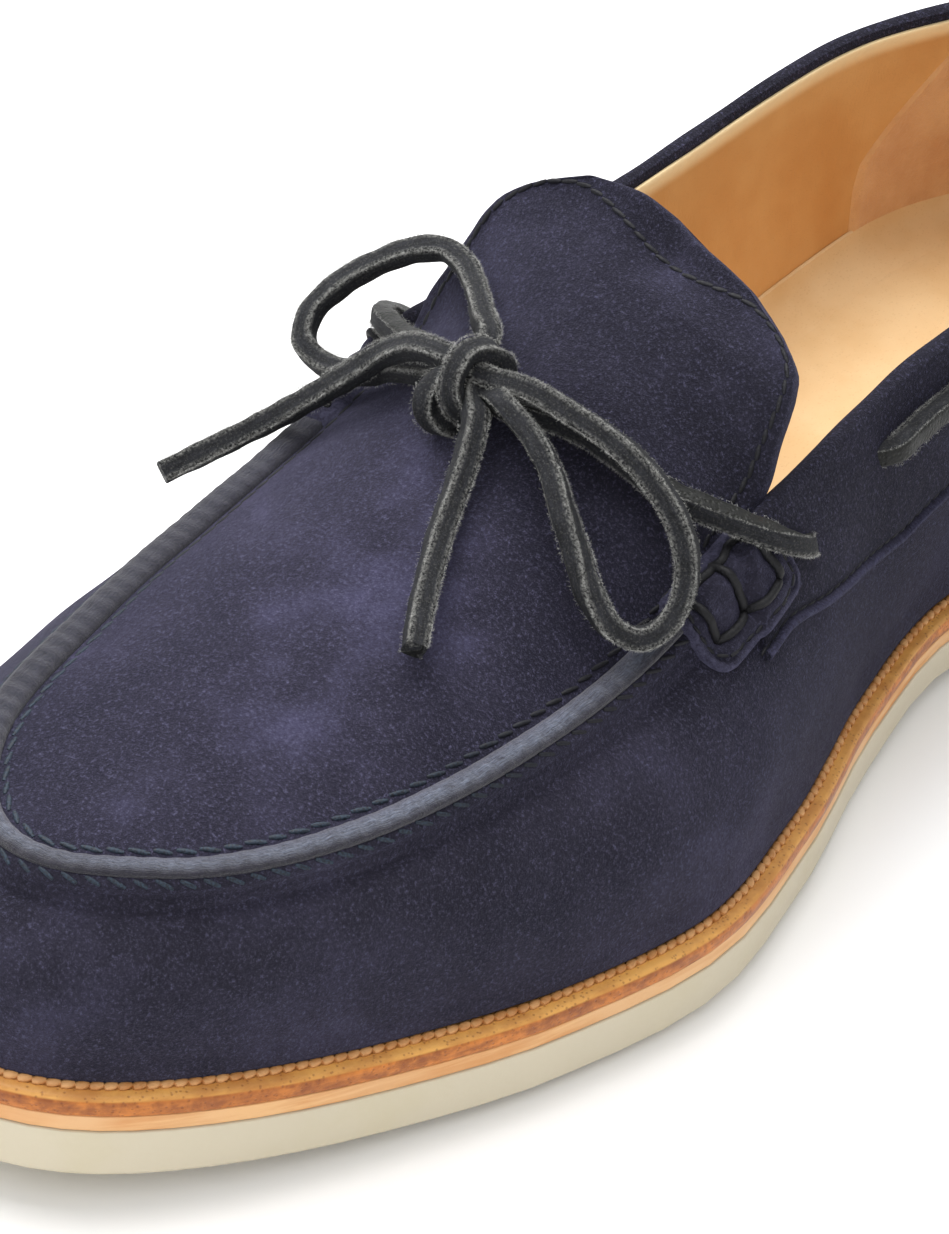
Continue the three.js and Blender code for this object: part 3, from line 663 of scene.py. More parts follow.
for rise, inside in CURL:
    spots = []
    for z, column in zip(levels + rise * MM * flatter_front, face[::-1].swapaxes(0, 1)):
        spots.append([*[np.interp(z, column[:, 2], column[:, k]) for k in range(2)], z])
    curl.append(np.array(spots) + flat_in * inside * MM)
curl.append(curl[0])
sock_edge = laid("insole_edge", np.array(curl))
done(closed(sock_edge), sock, "insole")

# ---- Heel grip --------------------------------------------------------------------------
# A patch of brown suede over the lining at the heel, which holds the foot. It is cut from
# thin suede and cemented down, wider at the bottom than at the rim.


def grip_paint(place, uv):
    cloud = place.noise(14, 4, 0.6)
    fibres = place.noise(0.5, 3, 0.7)
    paint = cloud.step(0.3, 0.7).blend("cf9a66", "deb27e")
    return {
        "Base Color": (fibres.step(0.55, 0.8) * 0.4).blend(paint, "dbb07a"),
        "Roughness": fibres.step(0.2, 0.8, 0.85, 1.0),
        "height": fibres * 0.3 + cloud * 0.3,
    }


GRIP_REACH = {"down": [0, 0.27, 0.39, 0.458, 0.54, 1], "us": [0.088, 0.11, 0.12, 0.126, 0.128, 0.13]}


def grip_sheet(lift):
    """The patch's points: narrow at the rim, and wider down to the sock."""
    rows = []
    for part in np.linspace(0, 1, 36):
        reach = np.interp(part, GRIP_REACH["down"], GRIP_REACH["us"])
        rows.append(inside_wall(np.linspace(-reach, reach, 121), part, 0.3 * MM))
    rows = np.array(rows)
    way = normals(rows)
    way *= np.sign((way[10] * (np.array([0.003, 0.08, 0.05]) - rows[10])).sum(-1).mean())
    lifts = np.full(121, lift)
    lifts[[0, -1]] = 0
    return rows + way * (LINING_THICK - 0.4 * MM + lifts)[None, :, None]


grip_outer = grip_sheet(1.1 * MM)
grip_inner = grip_sheet(-0.1 * MM)
grip = laid("heel_grip", np.concatenate([grip_outer, grip_inner[::-1], grip_outer[:1]]))
brown = finish("brown_suede", grip_paint, Specular_IOR_Level=0.15, Sheen_Weight=0.3)
done(closed(grip), brown, "insole")

# ---- Collar band ------------------------------------------------------------------------
# A second layer of the navy suede round the collar, from one side tab to the other. It is
# folded under along its lower edge, over the rim and inside, and makes the lace's tunnel.

BAND = {"y": [-30, -15.8, -2.8, 8.4, 24.8, 60, 150], "deep": [17, 18.5, 22, 24, 28, 30, 29]}


def band_depth(us):
    """How far below the rim the band's lower edge runs, in metres."""
    y = np.interp(np.mod(us, 1), FINE_ROUND, rim[:, 1]) / MM
    return np.interp(y, BAND["y"], BAND["deep"]) * MM


band_start = share(-21, 1)
band_end = share(-21, -1) - 1
band_round = np.linspace(band_end, band_start, 421)
low = band_depth(band_round)
# The folded edge bulges out, and the row of stitches above it presses a groove.
EDGE_STEPS = np.array([0, 0.1, 0.3, 0.6, 0.95, 1.25, 1.5, 1.75, 2.0, 2.4, 3.2]) * MM
EDGE_RISE = [-0.1, 1.0, 1.5, 1.7, 1.65, 1.3, 0.7, 0.5, 0.7, 0.95, 1.0]
rows = [below_rim(band_round, low - step) for step in EDGE_STEPS]
folded_in = LINING_TOP + 0.6 * MM
for part in np.linspace(0, 1, 40)[1:]:
    rows.append(below_rim(band_round, (low - EDGE_STEPS[-1]) * (1 - part) - folded_in * part))
band = np.array(rows)
out = normals(band)
out *= np.sign((out[5] * (band[5] - np.array([0.003, 0.08, 0.0]))).sum(-1).mean())
rest = np.interp(np.linspace(0, 1, 40)[1:], [0, 0.5, 0.8, 1], [0.95, 0.8, 0.5, 0.45])
rises = np.concatenate([EDGE_RISE, rest])
rises[-3:] = [0.4, 0.2, -0.05]
wave = 0.12 * np.sin(band[..., 1] * 260 + band[..., 2] * 90) * np.sin(band[..., 2] * 210)
lifted = band + out * ((rises[:, None] + wave) * MM)[..., None]
under = band + out * (-0.25 * MM)
collar = laid("collar_band", np.concatenate([lifted, under[::-1], lifted[:1]]))
from_edge = np.concatenate([EDGE_STEPS / MM, np.linspace(4, 20, 39), np.full(51, 9)])
charted(collar, np.tile(lengths(band[0]) * 1000, 101), np.repeat(from_edge, len(band_round)))
band_seam = lifted[7]
band_seam_ups = out[7]


def band_paint(place, uv):
    from_edge = uv.axis(1)
    # The folded lip is painted lighter, partly for its raw edge and partly as a painted highlight.
    folded = from_edge.step(1.7, 1.1) * from_edge.step(0.0, 0.4)
    # Painted shade: the groove pressed by the stitches above the fold is painted dark.
    groove_shade = from_edge.step(1.4, 1.9) * from_edge.step(3.0, 2.1)
    # The band's shades are as dark as the wall's back: painted shade.
    paint, height = nap(place, "131219", "1c1b24", "343246", "5c5b78")
    worn_and_lit = place.noise(0.6, 4, 0.8).step(0.3, 0.7).blend("2c2b3a", "545370")
    paint = (folded * 0.55).blend(paint, worn_and_lit)
    paint = (groove_shade * 0.6).blend(paint, "101016")
    rough = place.noise(1.5, 2).step(0.2, 0.8, 0.85, 1.0)
    return {"Base Color": paint, "Roughness": rough, "height": height}


folded_suede = finish(
    "folded_band_suede", band_paint, Specular_IOR_Level=0.15, Sheen_Weight=0.12, **SHEEN
)
done(closed(collar), folded_suede, "suede")

# ---- Apron and tongue -------------------------------------------------------------------
# The top of the shoe in one piece of navy suede: the apron over the toes, set into the wall,
# and the tongue that it runs out into under the lace. Its edges are left raw and rounded.

apron_rows = grid_of("apron_tongue", (0, -0.06, 0.065), (0, 1, 0), (-1, 0, 0))
apron_places = lengths(np.concatenate([apron_rows, apron_rows[:, :1]], axis=1)[12])
row_places = lengths(apron_rows[:, 0] * 0.5 + apron_rows[:, 15] * 0.5)
ring_columns = np.linspace(0, 30, 181)
row_at = np.linspace(0, row_places[-1], 176)
apron = spline(apron_rows, row_places, row_at).swapaxes(0, 1)
at = np.interp(ring_columns, np.arange(31), apron_places)
apron = spline(apron, apron_places[:30], at, apron_places[30]).swapaxes(0, 1)
opposite = (90 - np.arange(181)) % 180
middle = (apron + apron[:, opposite]) / 2
cap = []
onward = unit(middle[-1] - middle[-2])
edge = apron[-1] - middle[-1]
rounding = np.minimum(np.linalg.norm(edge, axis=1, keepdims=True), 1.3 * MM)
for angle in np.radians([22, 45, 67, 85]):
    cap.append(middle[-1] + edge * math.cos(angle) + onward * rounding * math.sin(angle))
apron = np.concatenate([apron, np.array(cap)])
out = normals(apron)
out *= np.sign((out[60, :20] * (apron[60, :20] - middle[60, :20])).sum())
x, y = apron[..., 0], apron[..., 1]
lump = np.sin(y * 95 + x * 30) * np.sin(x * 120 + 0.6) + 0.5 * np.sin(y * 190 - x * 140)
APRON_FOLDS = [  # x, y, lean, width and length in metres, and depth in mm
    (-0.004, -0.046, 0.25, 0.010, 0.05, -0.35),
    (0.014, -0.036, 0.7, 0.009, 0.03, -0.45),
    (-0.020, -0.036, -0.7, 0.009, 0.03, -0.45),
    (0.002, -0.024, 0.1, 0.014, 0.06, 0.3),
]
folds = 0
for x0, y0, lean, wide, tall, deep in APRON_FOLDS:
    folds = folds + deep * bump(y - (y0 + lean * (x - x0)), wide) * bump(x - x0, tall)
apron = apron + out * ((0.2 * lump + folds) * MM)[..., None]

# The outer corner of the tongue droops, and the inner one hardly does.
outwards = np.clip((x + 0.008) / 0.012, 0, 1)
sag = 0.4 + 3.1 * outwards**2 * (3 - 2 * outwards)
apron[..., 2] -= sag * np.clip((y + 0.007) / 0.008, 0, 1) * MM

# Dark, middle, light and bright shades, toe to tongue; the tongue is darker as painted shade.
APRON_SHADES = [
    ("1b1a25", "181720"), ("2b2937", "22212c"), ("4e4c68", "3b394d"), ("6a6886", "5c5b76"),
]
apron_piece = laid("apron_and_tongue", apron, (0.08, 0.14))
apron_suede = suede_finish("navy_apron_suede", -0.06, -0.01, APRON_SHADES, 0.3)
done(closed(apron_piece), apron_suede, "suede", "apron_tongue")

# ---- Moccasin seam ----------------------------------------------------------------------
# Where the wall meets the apron, the suede is pinched up into a ridge round the toes. Its
# crest is painted grey-blue, partly for wear and brushing and partly as a painted highlight,
# and its lower side is painted darker as shade. It dies away under the two side tabs.


def surface(*pieces):
    """A tree over the faces of some pieces, for finding places on them."""
    points, faces = [], []
    for piece in pieces:
        start = len(points)
        points += [v.co[:] for v in piece.data.vertices]
        faces += [[start + i for i in face.vertices] for face in piece.data.polygons]
    return BVHTree.FromPolygons(points, faces)


def nearest(tree, points):
    """The places of a tree that are nearest to points, and the normals there."""
    found = [tree.find_nearest(Vector(point))[:2] for point in points]
    return np.array([f[0][:] for f in found]), np.array([f[1][:] for f in found])


def dropped(tree, points):
    """The places of a tree straight under points, and the normals there."""
    above, down = Vector((0, 0, 0.02)), Vector((0, 0, -1))
    found = [tree.ray_cast(Vector(point) + above, down) for point in points]
    return np.array([f[0][:] for f in found]), np.array([f[1][:] for f in found])


def smoothed(line, times):
    """A line of points drawn smoother, its ends kept."""
    line = line.copy()
    for k in range(times):
        line[1:-1] = (line[:-2] + 2 * line[1:-1] + line[2:]) / 4
    return line


SEAM_PITCH = 3.2 * MM
SEAM_RISE = 1.15

apron_top = surface(apron_piece)
seam_round = np.linspace(share(-22, 1), share(-22, -1), 700)
crest = below_rim(seam_round, 0)
ways = tangents(crest)
inwards = unit(np.cross((0, 0, 1), ways))
inwards *= np.sign((inwards * (np.array([0.002, -0.06, 0]) - crest)).sum(-1).mean())
foot_out = below_rim(seam_round, 2.1 * MM)
foot_in = smoothed(dropped(apron_top, crest + inwards * 2.6 * MM)[0], 40)
travel = lengths(crest)
ends = np.clip(np.minimum(travel, travel[-1] - travel) / (5 * MM), 0, 1) ** 0.6
across = foot_in - foot_out
above = unit(np.cross(across, ways))
above *= np.sign(above[:, 2:3])
clear = ((crest - foot_out) * above).sum(1)
pucker = 0.10 * np.cos(2 * math.pi * travel / SEAM_PITCH) + 0.09 * np.sin(travel * 420)
height = smoothed(np.maximum(clear, 0), 40) + (SEAM_RISE + pucker) * MM * ends
rows = []
for angle in np.linspace(-0.12, math.pi + 0.12, 26):
    c = math.copysign(abs(math.cos(angle)) ** 0.85, math.cos(angle))
    sn = math.copysign(abs(math.sin(angle)) ** 0.72, math.sin(angle))
    lean = -0.10 * max(sn, 0)
    rows.append(foot_out + across * (0.5 - 0.5 * c + lean) + above * (height * sn)[:, None])
rows.append((foot_in + foot_out) / 2 - above * 0.6 * MM)
rows.append(rows[0])
ridge = laid("moccasin_ridge", np.array(rows))
part = np.repeat(np.concatenate([np.linspace(0, 1, 26), [0.5, 0]]), 700)
charted(ridge, np.tile(travel * 1000, 28), part)


def ridge_paint(place, uv):
    across = uv.axis(1)
    brushed = uv.noise(1000, 3, 0.65, (2.2, 0.03, 1))
    # The crest is painted grey-blue, partly for wear and brushing and partly as a painted highlight.
    worn_and_lit = across.step(0.24, 0.5) * across.step(0.84, 0.52) * brushed.step(0.25, 0.7)
    patch = place.noise(16, 3).step(0.25, 0.65, 0.35, 1.0)
    patch = patch * place.axis(0).step(-0.028, -0.008, 0.12, 1.0)
    fibres = place.noise(0.5, 4, 0.75)
    # Painted shade: the ridge's lower side is darker than its upper side.
    shaded_low_side = fibres.step(0.3, 0.7).blend("1a1923", "2c2a37")
    high_side = fibres.step(0.3, 0.7).blend("282735", "474659")
    base = (across.step(0.4, 0.7) * patch).blend(shaded_low_side, high_side)
    blue_grey = fibres.step(0.3, 0.7).blend("4c5364", "7e8799")
    return {
        "Base Color": (worn_and_lit * patch * 0.75).blend(base, blue_grey),
        "Roughness": fibres.step(0.2, 0.8, 0.7, 0.95),
        "height": fibres * 0.3 + brushed * 0.25,
    }


brushed_suede_with_painted_light = finish("brushed_suede_with_painted_light", ridge_paint, Specular_IOR_Level=0.2, Sheen_Weight=0.3)
done(closed(ridge), brushed_suede_with_painted_light, "suede")

# ---- Stitching --------------------------------------------------------------------------
# Waxed navy thread: a row of long slanting stitches on each side of the ridge, worn to a
# blue grey at the toe, one row along the band's fold and one inside the tongue's edge.


def thread_paint(dark, pale, toe_dark=None, toe_pale=None):
    """The paint of a thread. With four colours, the last two are those at the toe."""

    def paint(place, uv):
        twist = place.noise(0.35, 2)
        shade = twist.step(0.3, 0.7).blend(dark, pale)
        if toe_dark:
            onward = place.axis(1)
            toe_shade = twist.step(0.3, 0.7).blend(toe_dark, toe_pale)
            shade = onward.step(-0.055, -0.1).blend(shade, toe_shade)
        return {
            "Base Color": shade,
            "Roughness": twist.step(0.2, 0.8, 0.5, 0.7),
            "height": twist * 0.12,
        }

    return paint


def stitches(name, line, ups, material, pitch, long, wide, slant, sink):
    """A row of stitches that lie slanting over a line of places on a surface."""
    far = lengths(line)
    at = np.arange(pitch / 2, far[-1], pitch)
    places = np.stack([np.interp(at, far, line[:, k]) for k in range(3)], axis=1)
    lifts = unit(np.stack([np.interp(at, far, ups[:, k]) for k in range(3)], axis=1))
    ways = np.stack([np.interp(at, far, tangents(line)[:, k]) for k in range(3)], axis=1)
    ways = unit(ways + np.cross(lifts, ways) * slant)
    sizes = np.ones((len(places), 3))
    sizes[:, 0] = 1 + 0.12 * np.sin(at * 3100)
    pattern = pebble(long, wide, wide * 0.9)
    row = repeated(name, pattern, places - lifts * sink, ways, lifts, sizes)
    done(row, material, "lace", smooth=60)


thread = finish("navy_waxed_thread", thread_paint("07070a", "16161e"), Specular_IOR_Level=0.3)
toe_thread = thread_paint("08080c", "16161e", "141922", "2c3947")
faded_thread = finish("faded_waxed_thread", toe_thread, Specular_IOR_Level=0.3)
wall_tree = surface(upper_wall, collar)
line, ups = dropped(apron_top, crest + inwards * 3.7 * MM)
stitches("seam_stitches_upper", line[12:-12], ups[12:-12], faded_thread,
         SEAM_PITCH, long=2.6 * MM, wide=0.75 * MM, slant=-0.22, sink=0.12 * MM)
line, ups = nearest(wall_tree, below_rim(seam_round, 3.0 * MM))
stitches("seam_stitches_lower", line[12:-12], ups[12:-12], faded_thread,
         SEAM_PITCH, long=2.3 * MM, wide=0.6 * MM, slant=-0.5, sink=0.08 * MM)
stitches("collar_band_stitches", band_seam, band_seam_ups, thread,
         2.9 * MM, long=2.3 * MM, wide=0.5 * MM, slant=0.1, sink=0.05 * MM)

first_row = int(np.argmin(np.abs(apron[:, 0, 1] + 0.022)))
last_row = len(apron) - 5
left = apron[first_row:last_row, 42]
right = apron[first_row:last_row, 138][::-1]
outline = np.concatenate([left, apron[last_row, 42::-1], apron[last_row, 180:137:-1], right])
moved = np.diff(lengths(outline), prepend=-1) > 1e-6
outline = evenly(outline[moved], 1.2 * MM)
line, ups = nearest(apron_top, outline)
ups[:] = unit(ups * np.sign(ups[:, 2:3]))
for k in range(30):
    ups[1:-1] = unit(ups[:-2] + ups[1:-1] + ups[2:])
inner_way = unit(np.cross(ups, tangents(line)))
inner_way *= np.sign((inner_way * (line.mean(0) - line)).sum(-1).mean())
line, found = nearest(apron_top, line + inner_way * 4.6 * MM + ups * 1.5 * MM)
line, found = nearest(apron_top, evenly(smoothed(line, 25), 0.8 * MM))
found *= np.sign(found[:, 2:3])
stitches("tongue_stitches", line, found, thread,
         2.6 * MM, long=2.3 * MM, wide=0.7 * MM, slant=0.14, sink=0.1 * MM)

# ---- Side tabs --------------------------------------------------------------------------
# A rounded patch of suede on each side, over the end of the ridge. A line of stitches runs
# inside its edge, and thick black waxed cord holds it down in two square crosses.


def tab_paint(place, uv):
    inside = uv.axis(0)
    raw = inside.step(1.5, 0.5)
    paint, height = nap(place, "201f2a", "2a2834", "373547", "55546b")
    fibres = place.noise(0.8, 4, 0.8)
    frayed = fibres.step(0.3, 0.7).blend("2b2a3a", "5c5b74")
    return {
        "Base Color": (raw * 0.5).blend(paint, frayed),
        "Roughness": fibres.step(0.2, 0.8, 0.85, 1.0),
        "height": height,
    }


tab_suede = finish(
    "raw_edged_suede", tab_paint, Specular_IOR_Level=0.15, Sheen_Weight=0.3, **SHEEN
)
cord_black = finish("black_waxed_cord", thread_paint("08080a", "18181c"), Specular_IOR_Level=0.3)
TAB_HALF = np.array([11.0, 7.2])  # half its length and half its height, in mm
TAB_CORNER = 3.2
TAB_LIFT = 3.6  # how far its middle lies above its place
TAB_THICK = 1.35
CORD_HALF = 0.68 * MM
CROSSES = [  # the strands' places along and up the tab, in mm
    [(-7.2, 9.2), (-7.3, 5.2), (-7.2, 1.0)],
    [(-0.2, 9.3), (-0.4, 5.2), (-0.6, 1.0)],
    [(6.4, 9.2), (6.8, 5.0), (6.6, 0.8)],
    [(-7.4, 0.8), (-3.6, 0.5), (-0.5, 0.8)],
    [(-0.5, 0.8), (3.0, 0.4), (6.8, 0.7)],
    [(-7.4, 9.0), (-3.6, 9.4), (-0.2, 9.1)],
    [(-0.2, 9.1), (3.2, 9.5), (6.6, 9.1)],
]


def turned(line, ups):
    """The ways onward, sideways and up along a line whose top looks the way of ups."""
    ways = tangents(line)
    sideways = unit(np.cross(ups, ways))
    return ways, sideways, unit(np.cross(ways, sideways))


def tube(name, line, ups, half, sides, square=2.0, crown=0.0, ripple=1.0):
    """A closed tube along a line, with its top the way of ups.

    It is round, and squarer as square grows. Its top has a ridge of height crown along each
    edge, and ripple makes it wider and narrower.
    """
    ways, sideways, tops = turned(line, ups)
    angles = np.linspace(0, 2 * math.pi, sides + 1)
    c, sn = np.cos(angles), np.sin(angles)
    size = half / (np.abs(c) ** square + np.abs(sn) ** square) ** (1 / square)
    edges = np.where(c > 0.3, crown * np.cos(2 * angles + math.pi), 0)
    swell = np.broadcast_to(ripple, len(line))[:, None]
    rows = line + tops * (c * size + edges)[:, None, None] * swell
    rows = rows + sideways * (sn * size)[:, None, None] * swell
    piece = laid(name, rows)
    turns = np.repeat(angles / (2 * math.pi), len(line))
    charted(piece, np.tile(lengths(line) * 1000, sides + 1), turns)
    return closed(piece)


def joined(name, pieces):
    """Some pieces made one."""
    only(pieces[0])
    for piece in pieces:
        piece.select_set(True)
    bpy.ops.object.join()
    pieces[0].name = pieces[0].data.name = name
    return pieces[0]


def past_corner(p, q):
    """How far places on a tab lie past the centre of its nearest corner's arc, both ways."""
    return np.stack([np.abs(p), np.abs(q)]) - (TAB_HALF - TAB_CORNER)[:, None, None]


def side_tab(side, centre, node):
    """The tab of side 1 or -1 with its cord and its stitches, laid on what is under it."""
    along = unit(np.array([-0.105 * side, 0.955, 0.278]))
    up = unit(np.array([-0.598 * side, -0.285, 0.749]))
    out = unit(np.array([0.794 * side, -0.088, 0.601]))
    name = "side_tab_outer" if side > 0 else "side_tab_inner"
    base = surface(upper_wall, collar, ridge, apron_piece)

    def place(tree, p, q, lift):
        """The point over a tree at p mm along and q mm up the tab, lift mm off it."""
        start = centre + (along * p + up * q) * MM + out * 12 * MM
        hit = tree.ray_cast(Vector(start), Vector(-out))[0]
        hit = np.array(hit[:]) if hit else start - out * 14 * MM
        return hit + out * lift * MM

    p, q = np.meshgrid(np.linspace(-1, 1, 91) * TAB_HALF[0], np.linspace(-1, 1, 61) * TAB_HALF[1])
    past = past_corner(p, q)
    at_corner = (past > 0).all(0)
    pull = np.where(at_corner, past.max(0) / np.maximum(np.hypot(*past), 1e-9), 1)
    p = np.where(at_corner, np.sign(p) * (TAB_HALF[0] - TAB_CORNER + past[0] * pull), p)
    q = np.where(at_corner, np.sign(q) * (TAB_HALF[1] - TAB_CORNER + past[1] * pull), q)
    inside = np.clip(TAB_CORNER - np.hypot(*np.maximum(past_corner(p, q), 0)), 0, 9)
    q = q + TAB_LIFT
    hits = np.array([[place(base, a, b, 0) for a, b in zip(*row)] for row in zip(p, q)])
    heights = (hits - centre) @ out
    for k in range(8):
        beside = heights[:-2, 1:-1] + heights[2:, 1:-1] + heights[1:-1, :-2] + heights[1:-1, 2:]
        heights[1:-1, 1:-1] = beside / 4
    flatways = hits - ((hits - centre) @ out)[..., None] * out
    edge = 1 - np.clip(inside / 0.7, 0, 1)
    rise = TAB_THICK * np.sqrt(np.clip(1 - edge**2, 0, 1)) - 0.2
    rise -= 0.35 * bump(inside - 1.6, 0.9)
    rise += 0.25 * np.sin(p * 1.1) * np.sin(q * 0.9) * (inside > 1)
    for cross in np.array(CROSSES[:5]):
        start, reach = cross[0], cross[-1] - cross[0]
        t = ((p - start[0]) * reach[0] + (q - start[1]) * reach[1]) / (reach**2).sum()
        t = np.clip(t, 0, 1)
        gap = np.hypot(p - start[0] - t * reach[0], q - start[1] - t * reach[1])
        rise -= 0.45 * bump(gap, 1.8)
    top = flatways + out * (heights + rise * MM)[..., None]
    if side < 0:
        top, inside = top[:, ::-1], inside[:, ::-1]
    tab = laid(name + "_suede", top)
    charted(tab, inside, inside)
    modified(tab, "SOLIDIFY", thickness=0.5 * MM, offset=-1)
    done(tab, tab_suede, "suede", node)
    tab_tree = surface(tab)
    strands = []
    for number, cross in enumerate(CROSSES):
        line = spline(np.array(cross), np.arange(3.0), np.linspace(0, 2, 25))
        lift = 0.28 - 1.2 * (np.abs(np.linspace(-1, 1, 25)) ** 8)
        lift += 0.35 * (number < 3)
        line = np.array([place(tab_tree, a, b, h) for (a, b), h in zip(line, lift)])
        line = evenly(smoothed(line, 1), 0.35 * MM)
        strands.append(tube("cross", line, out[None], CORD_HALF, 10))
    done(joined(name + "_cord", strands), cord_black, "lace", smooth=60)
    angles = np.linspace(0, 2 * math.pi, 160)
    round_way = np.stack([np.cos(angles), np.sin(angles)], 1)
    ring = (TAB_HALF - 1.6) * np.sign(round_way) * np.abs(round_way) ** 0.45 + (0, TAB_LIFT)
    ring = ring[ring[:, 1] < 8.6]
    start = int(np.argmax(np.linalg.norm(np.diff(ring, axis=0), axis=1))) + 1
    ring = np.roll(ring, -start, axis=0)
    line = np.array([place(tab_tree, a, b, 0.02) for a, b in ring])
    stitches(name + "_stitches", line, np.tile(out, (len(line), 1)), thread,
             2.0 * MM, long=1.5 * MM, wide=0.5 * MM, slant=0.1, sink=0.05 * MM)


side_tab(1, np.array([40.5, -23.5, 54.2]) * MM, "side_tab_outer")
side_tab(-1, np.array([-39.4, -23.5, 52.4]) * MM, "side_tab_inner")

# ---- Lace -------------------------------------------------------------------------------
# A square-cut rawhide lace, black all through. One side is smooth pebbled grain, and the
# flesh side has fuzzy grey edges. From the bow on the tongue a bar goes down into the collar
# on each side, and the lace shows again further back along it.

LACE = 3.6 * MM


def lace_paint(place, uv):
    turn = uv.axis(1)
    fine_fibres = place.noise(0.45, 4, 0.8)
    streaks = uv.noise(1000, 3, 0.7, (3.0, 0.05, 1))
    pebbles = place.cells(0.75).step(0.1, 0.55)
    from_flesh = (turn - 0.5).maths("ABSOLUTE")
    grain = from_flesh.step(0.145, 0.105)
    rough_edge = (from_flesh - 0.375).maths("ABSOLUTE").step(0.075, 0.012) * 0.9
    grain_edge = (from_flesh - 0.125).maths("ABSOLUTE").step(0.02, 0.0) * 0.35
    fuzz = rough_edge.maths("MAXIMUM", grain_edge) * fine_fibres.step(0.4, 0.66)
    body = (streaks * 0.6 + fine_fibres * 0.4).step(0.35, 0.65).blend("0f1013", "25262b")
    specks = place.noise(0.32, 4, 0.9).step(0.52, 0.7) * 0.4
    body = specks.blend(body, "7c7c74")
    body = grain.blend(body, pebbles.blend("1e1f1b", "0f100e"))
    return {
        "Base Color": fuzz.blend(body, "a4a4a0"),
        "Roughness": grain.step(0, 1, 0.9, 0.5),
        "height": fine_fibres * 0.14 + fuzz * 0.25 + pebbles * grain * 0.12,
    }


rawhide = finish("black_rawhide", lace_paint, Specular_IOR_Level=0.3)
fuzz_rows = []


def strap(name, route, flesh, full=1.0):
    """A stretch of lace along a route in mm, and its middle line.

    flesh gives the way that its flesh side looks, at shares of its length.
    """
    route = np.array(route, float) * MM
    far = lengths(route)
    line = evenly(spline(route, far, np.linspace(0, far[-1], 400)), 0.8 * MM)
    shares = np.linspace(0, 1, len(line))
    hints = np.array([way for share, way in flesh], float)
    looks = hints
    if len(hints) > 1:
        looks = spline(hints, np.array([share for share, way in flesh]), shares)
    looks = unit(looks)
    step = shares * len(line)
    ripple = 1 + 0.03 * np.sin(step * 0.9) + 0.025 * np.sin(step * 0.37 + 1)
    piece = tube(name, line, looks, 0.48 * full * LACE, 24, 4.5, 0.16 * MM, ripple)
    ways, sideways, tops = turned(line, looks)
    for corner in (1, -1):
        edge = line + (tops + sideways * corner) * 0.44 * LACE
        fuzz_rows.append((edge, unit(tops * 0.8 + sideways * corner * 0.8), ways, 17))
        edge = line + (-tops + sideways * corner) * 0.44 * LACE
        fuzz_rows.append((edge, unit(-tops * 0.6 + sideways * corner), ways, 4))
    return piece, line


BAR_OUTER = [
    (35.4, -6.2, 54.8), (37.6, -7.0, 56.8), (39.6, -9.2, 58.9), (40.2, -12.6, 61.1),
    (39.2, -16.6, 63.8), (36.2, -20.2, 66.0), (31, -24, 68), (25.5, -27, 69.8),
    (18.5, -28.6, 72.8), (11, -29.8, 74.6), (5, -31.4, 74.9), (0, -33, 74.5),
]
BAR_INNER = [
    (-34.6, -3.2, 54.4), (-37.0, -3.8, 56.2), (-39.2, -6.8, 58.4), (-39.8, -10.2, 60.7),
    (-39.2, -14.4, 63.6), (-36.6, -19, 66.4), (-31, -23.4, 69), (-25.5, -26.6, 71),
    (-19, -28.8, 73.2), (-13.6, -30.2, 74.4),
]

for word, route, flesh in [
    ("outer", BAR_OUTER, (0.2, 0.2, -1.0)),
    ("inner", BAR_INNER, (-0.2, 0.2, -1.0)),
]:
    piece, line = strap("lace_bar_" + word + "_strap", route, [(0, flesh)])
    done(piece, rawhide, "lace", "lace_bar_" + word, smooth=50)

for side, word in ((1, "outer"), (-1, "inner")):
    low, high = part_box("lace_collar_" + word)
    span = np.linspace(share(low[1] / MM - 2.6, side), share(high[1] / MM + 2.6, side), 60)
    depth = np.full(60, 9.2 * MM)
    skin = below_rim(span, depth)
    outwards = unit(np.cross(np.gradient(skin, axis=0), skin - below_rim(span, depth - 3 * MM)))
    outwards *= np.sign(outwards[:, :1]) * side
    line, ups = nearest(surface(collar), skin + outwards * 4 * MM)
    ups = smoothed(ups, 20)
    lift = 1.75 - 4.4 * np.abs(np.linspace(-1, 1, 60)) ** 26
    route = (line + ups * lift[:, None] * MM) / MM
    piece, line = strap("lace_collar_" + word + "_strap", route[::3], [(0, (-ups[30]).tolist())])
    done(piece, rawhide, "lace", "lace_collar_" + word, smooth=50)

# ---- Bow --------------------------------------------------------------------------------
# A small loose bow: two turns of the lace wrap the crossing and tuck in under it, a loop
# stands out on each side, and two cut ends lie on the leather. The loops hold by the knot.

WRAP_OVER = [
    (-4.3, -28.9, 76.1), (-4.5, -30.7, 79.4), (-5.6, -32.9, 81.5), (-6.4, -35.8, 81.8),
    (-6.2, -38.3, 80.3), (-5.8, -39.6, 78.2), (-4.9, -39.6, 75.8), (-4.1, -38.0, 73.6),
    (-3.7, -35.4, 72.1), (-4.3, -32.2, 71.7),
]
WRAP_UNDER = [
    (-8.8, -34.8, 76.8), (-8.9, -38.0, 76.8), (-9.2, -40.3, 75.6), (-8.9, -41.2, 73.4),
    (-7.8, -40.4, 71.4), (-6.8, -38.3, 70.1), (-6.4, -35.3, 70.1),
]
OVER_FLESH = [
    (0, (-0.3, 0.7, 0.4)), (0.3, (0.1, -0.1, 1.0)), (0.6, (0.2, -1.0, 0.5)),
    (1, (0.3, -0.4, -0.8)),
]
UNDER_FLESH = [(0, (0.9, 0.2, 0.2)), (1, (0.9, 0.2, 0.2))]
wraps = [(WRAP_OVER, OVER_FLESH), (WRAP_UNDER, UNDER_FLESH)]
strands = [strap("strand", route, flesh, 0.97)[0] for route, flesh in wraps]
knot = joined("lace_knot_strands", strands)
done(knot, rawhide, "lace", "lace_knot", smooth=50)

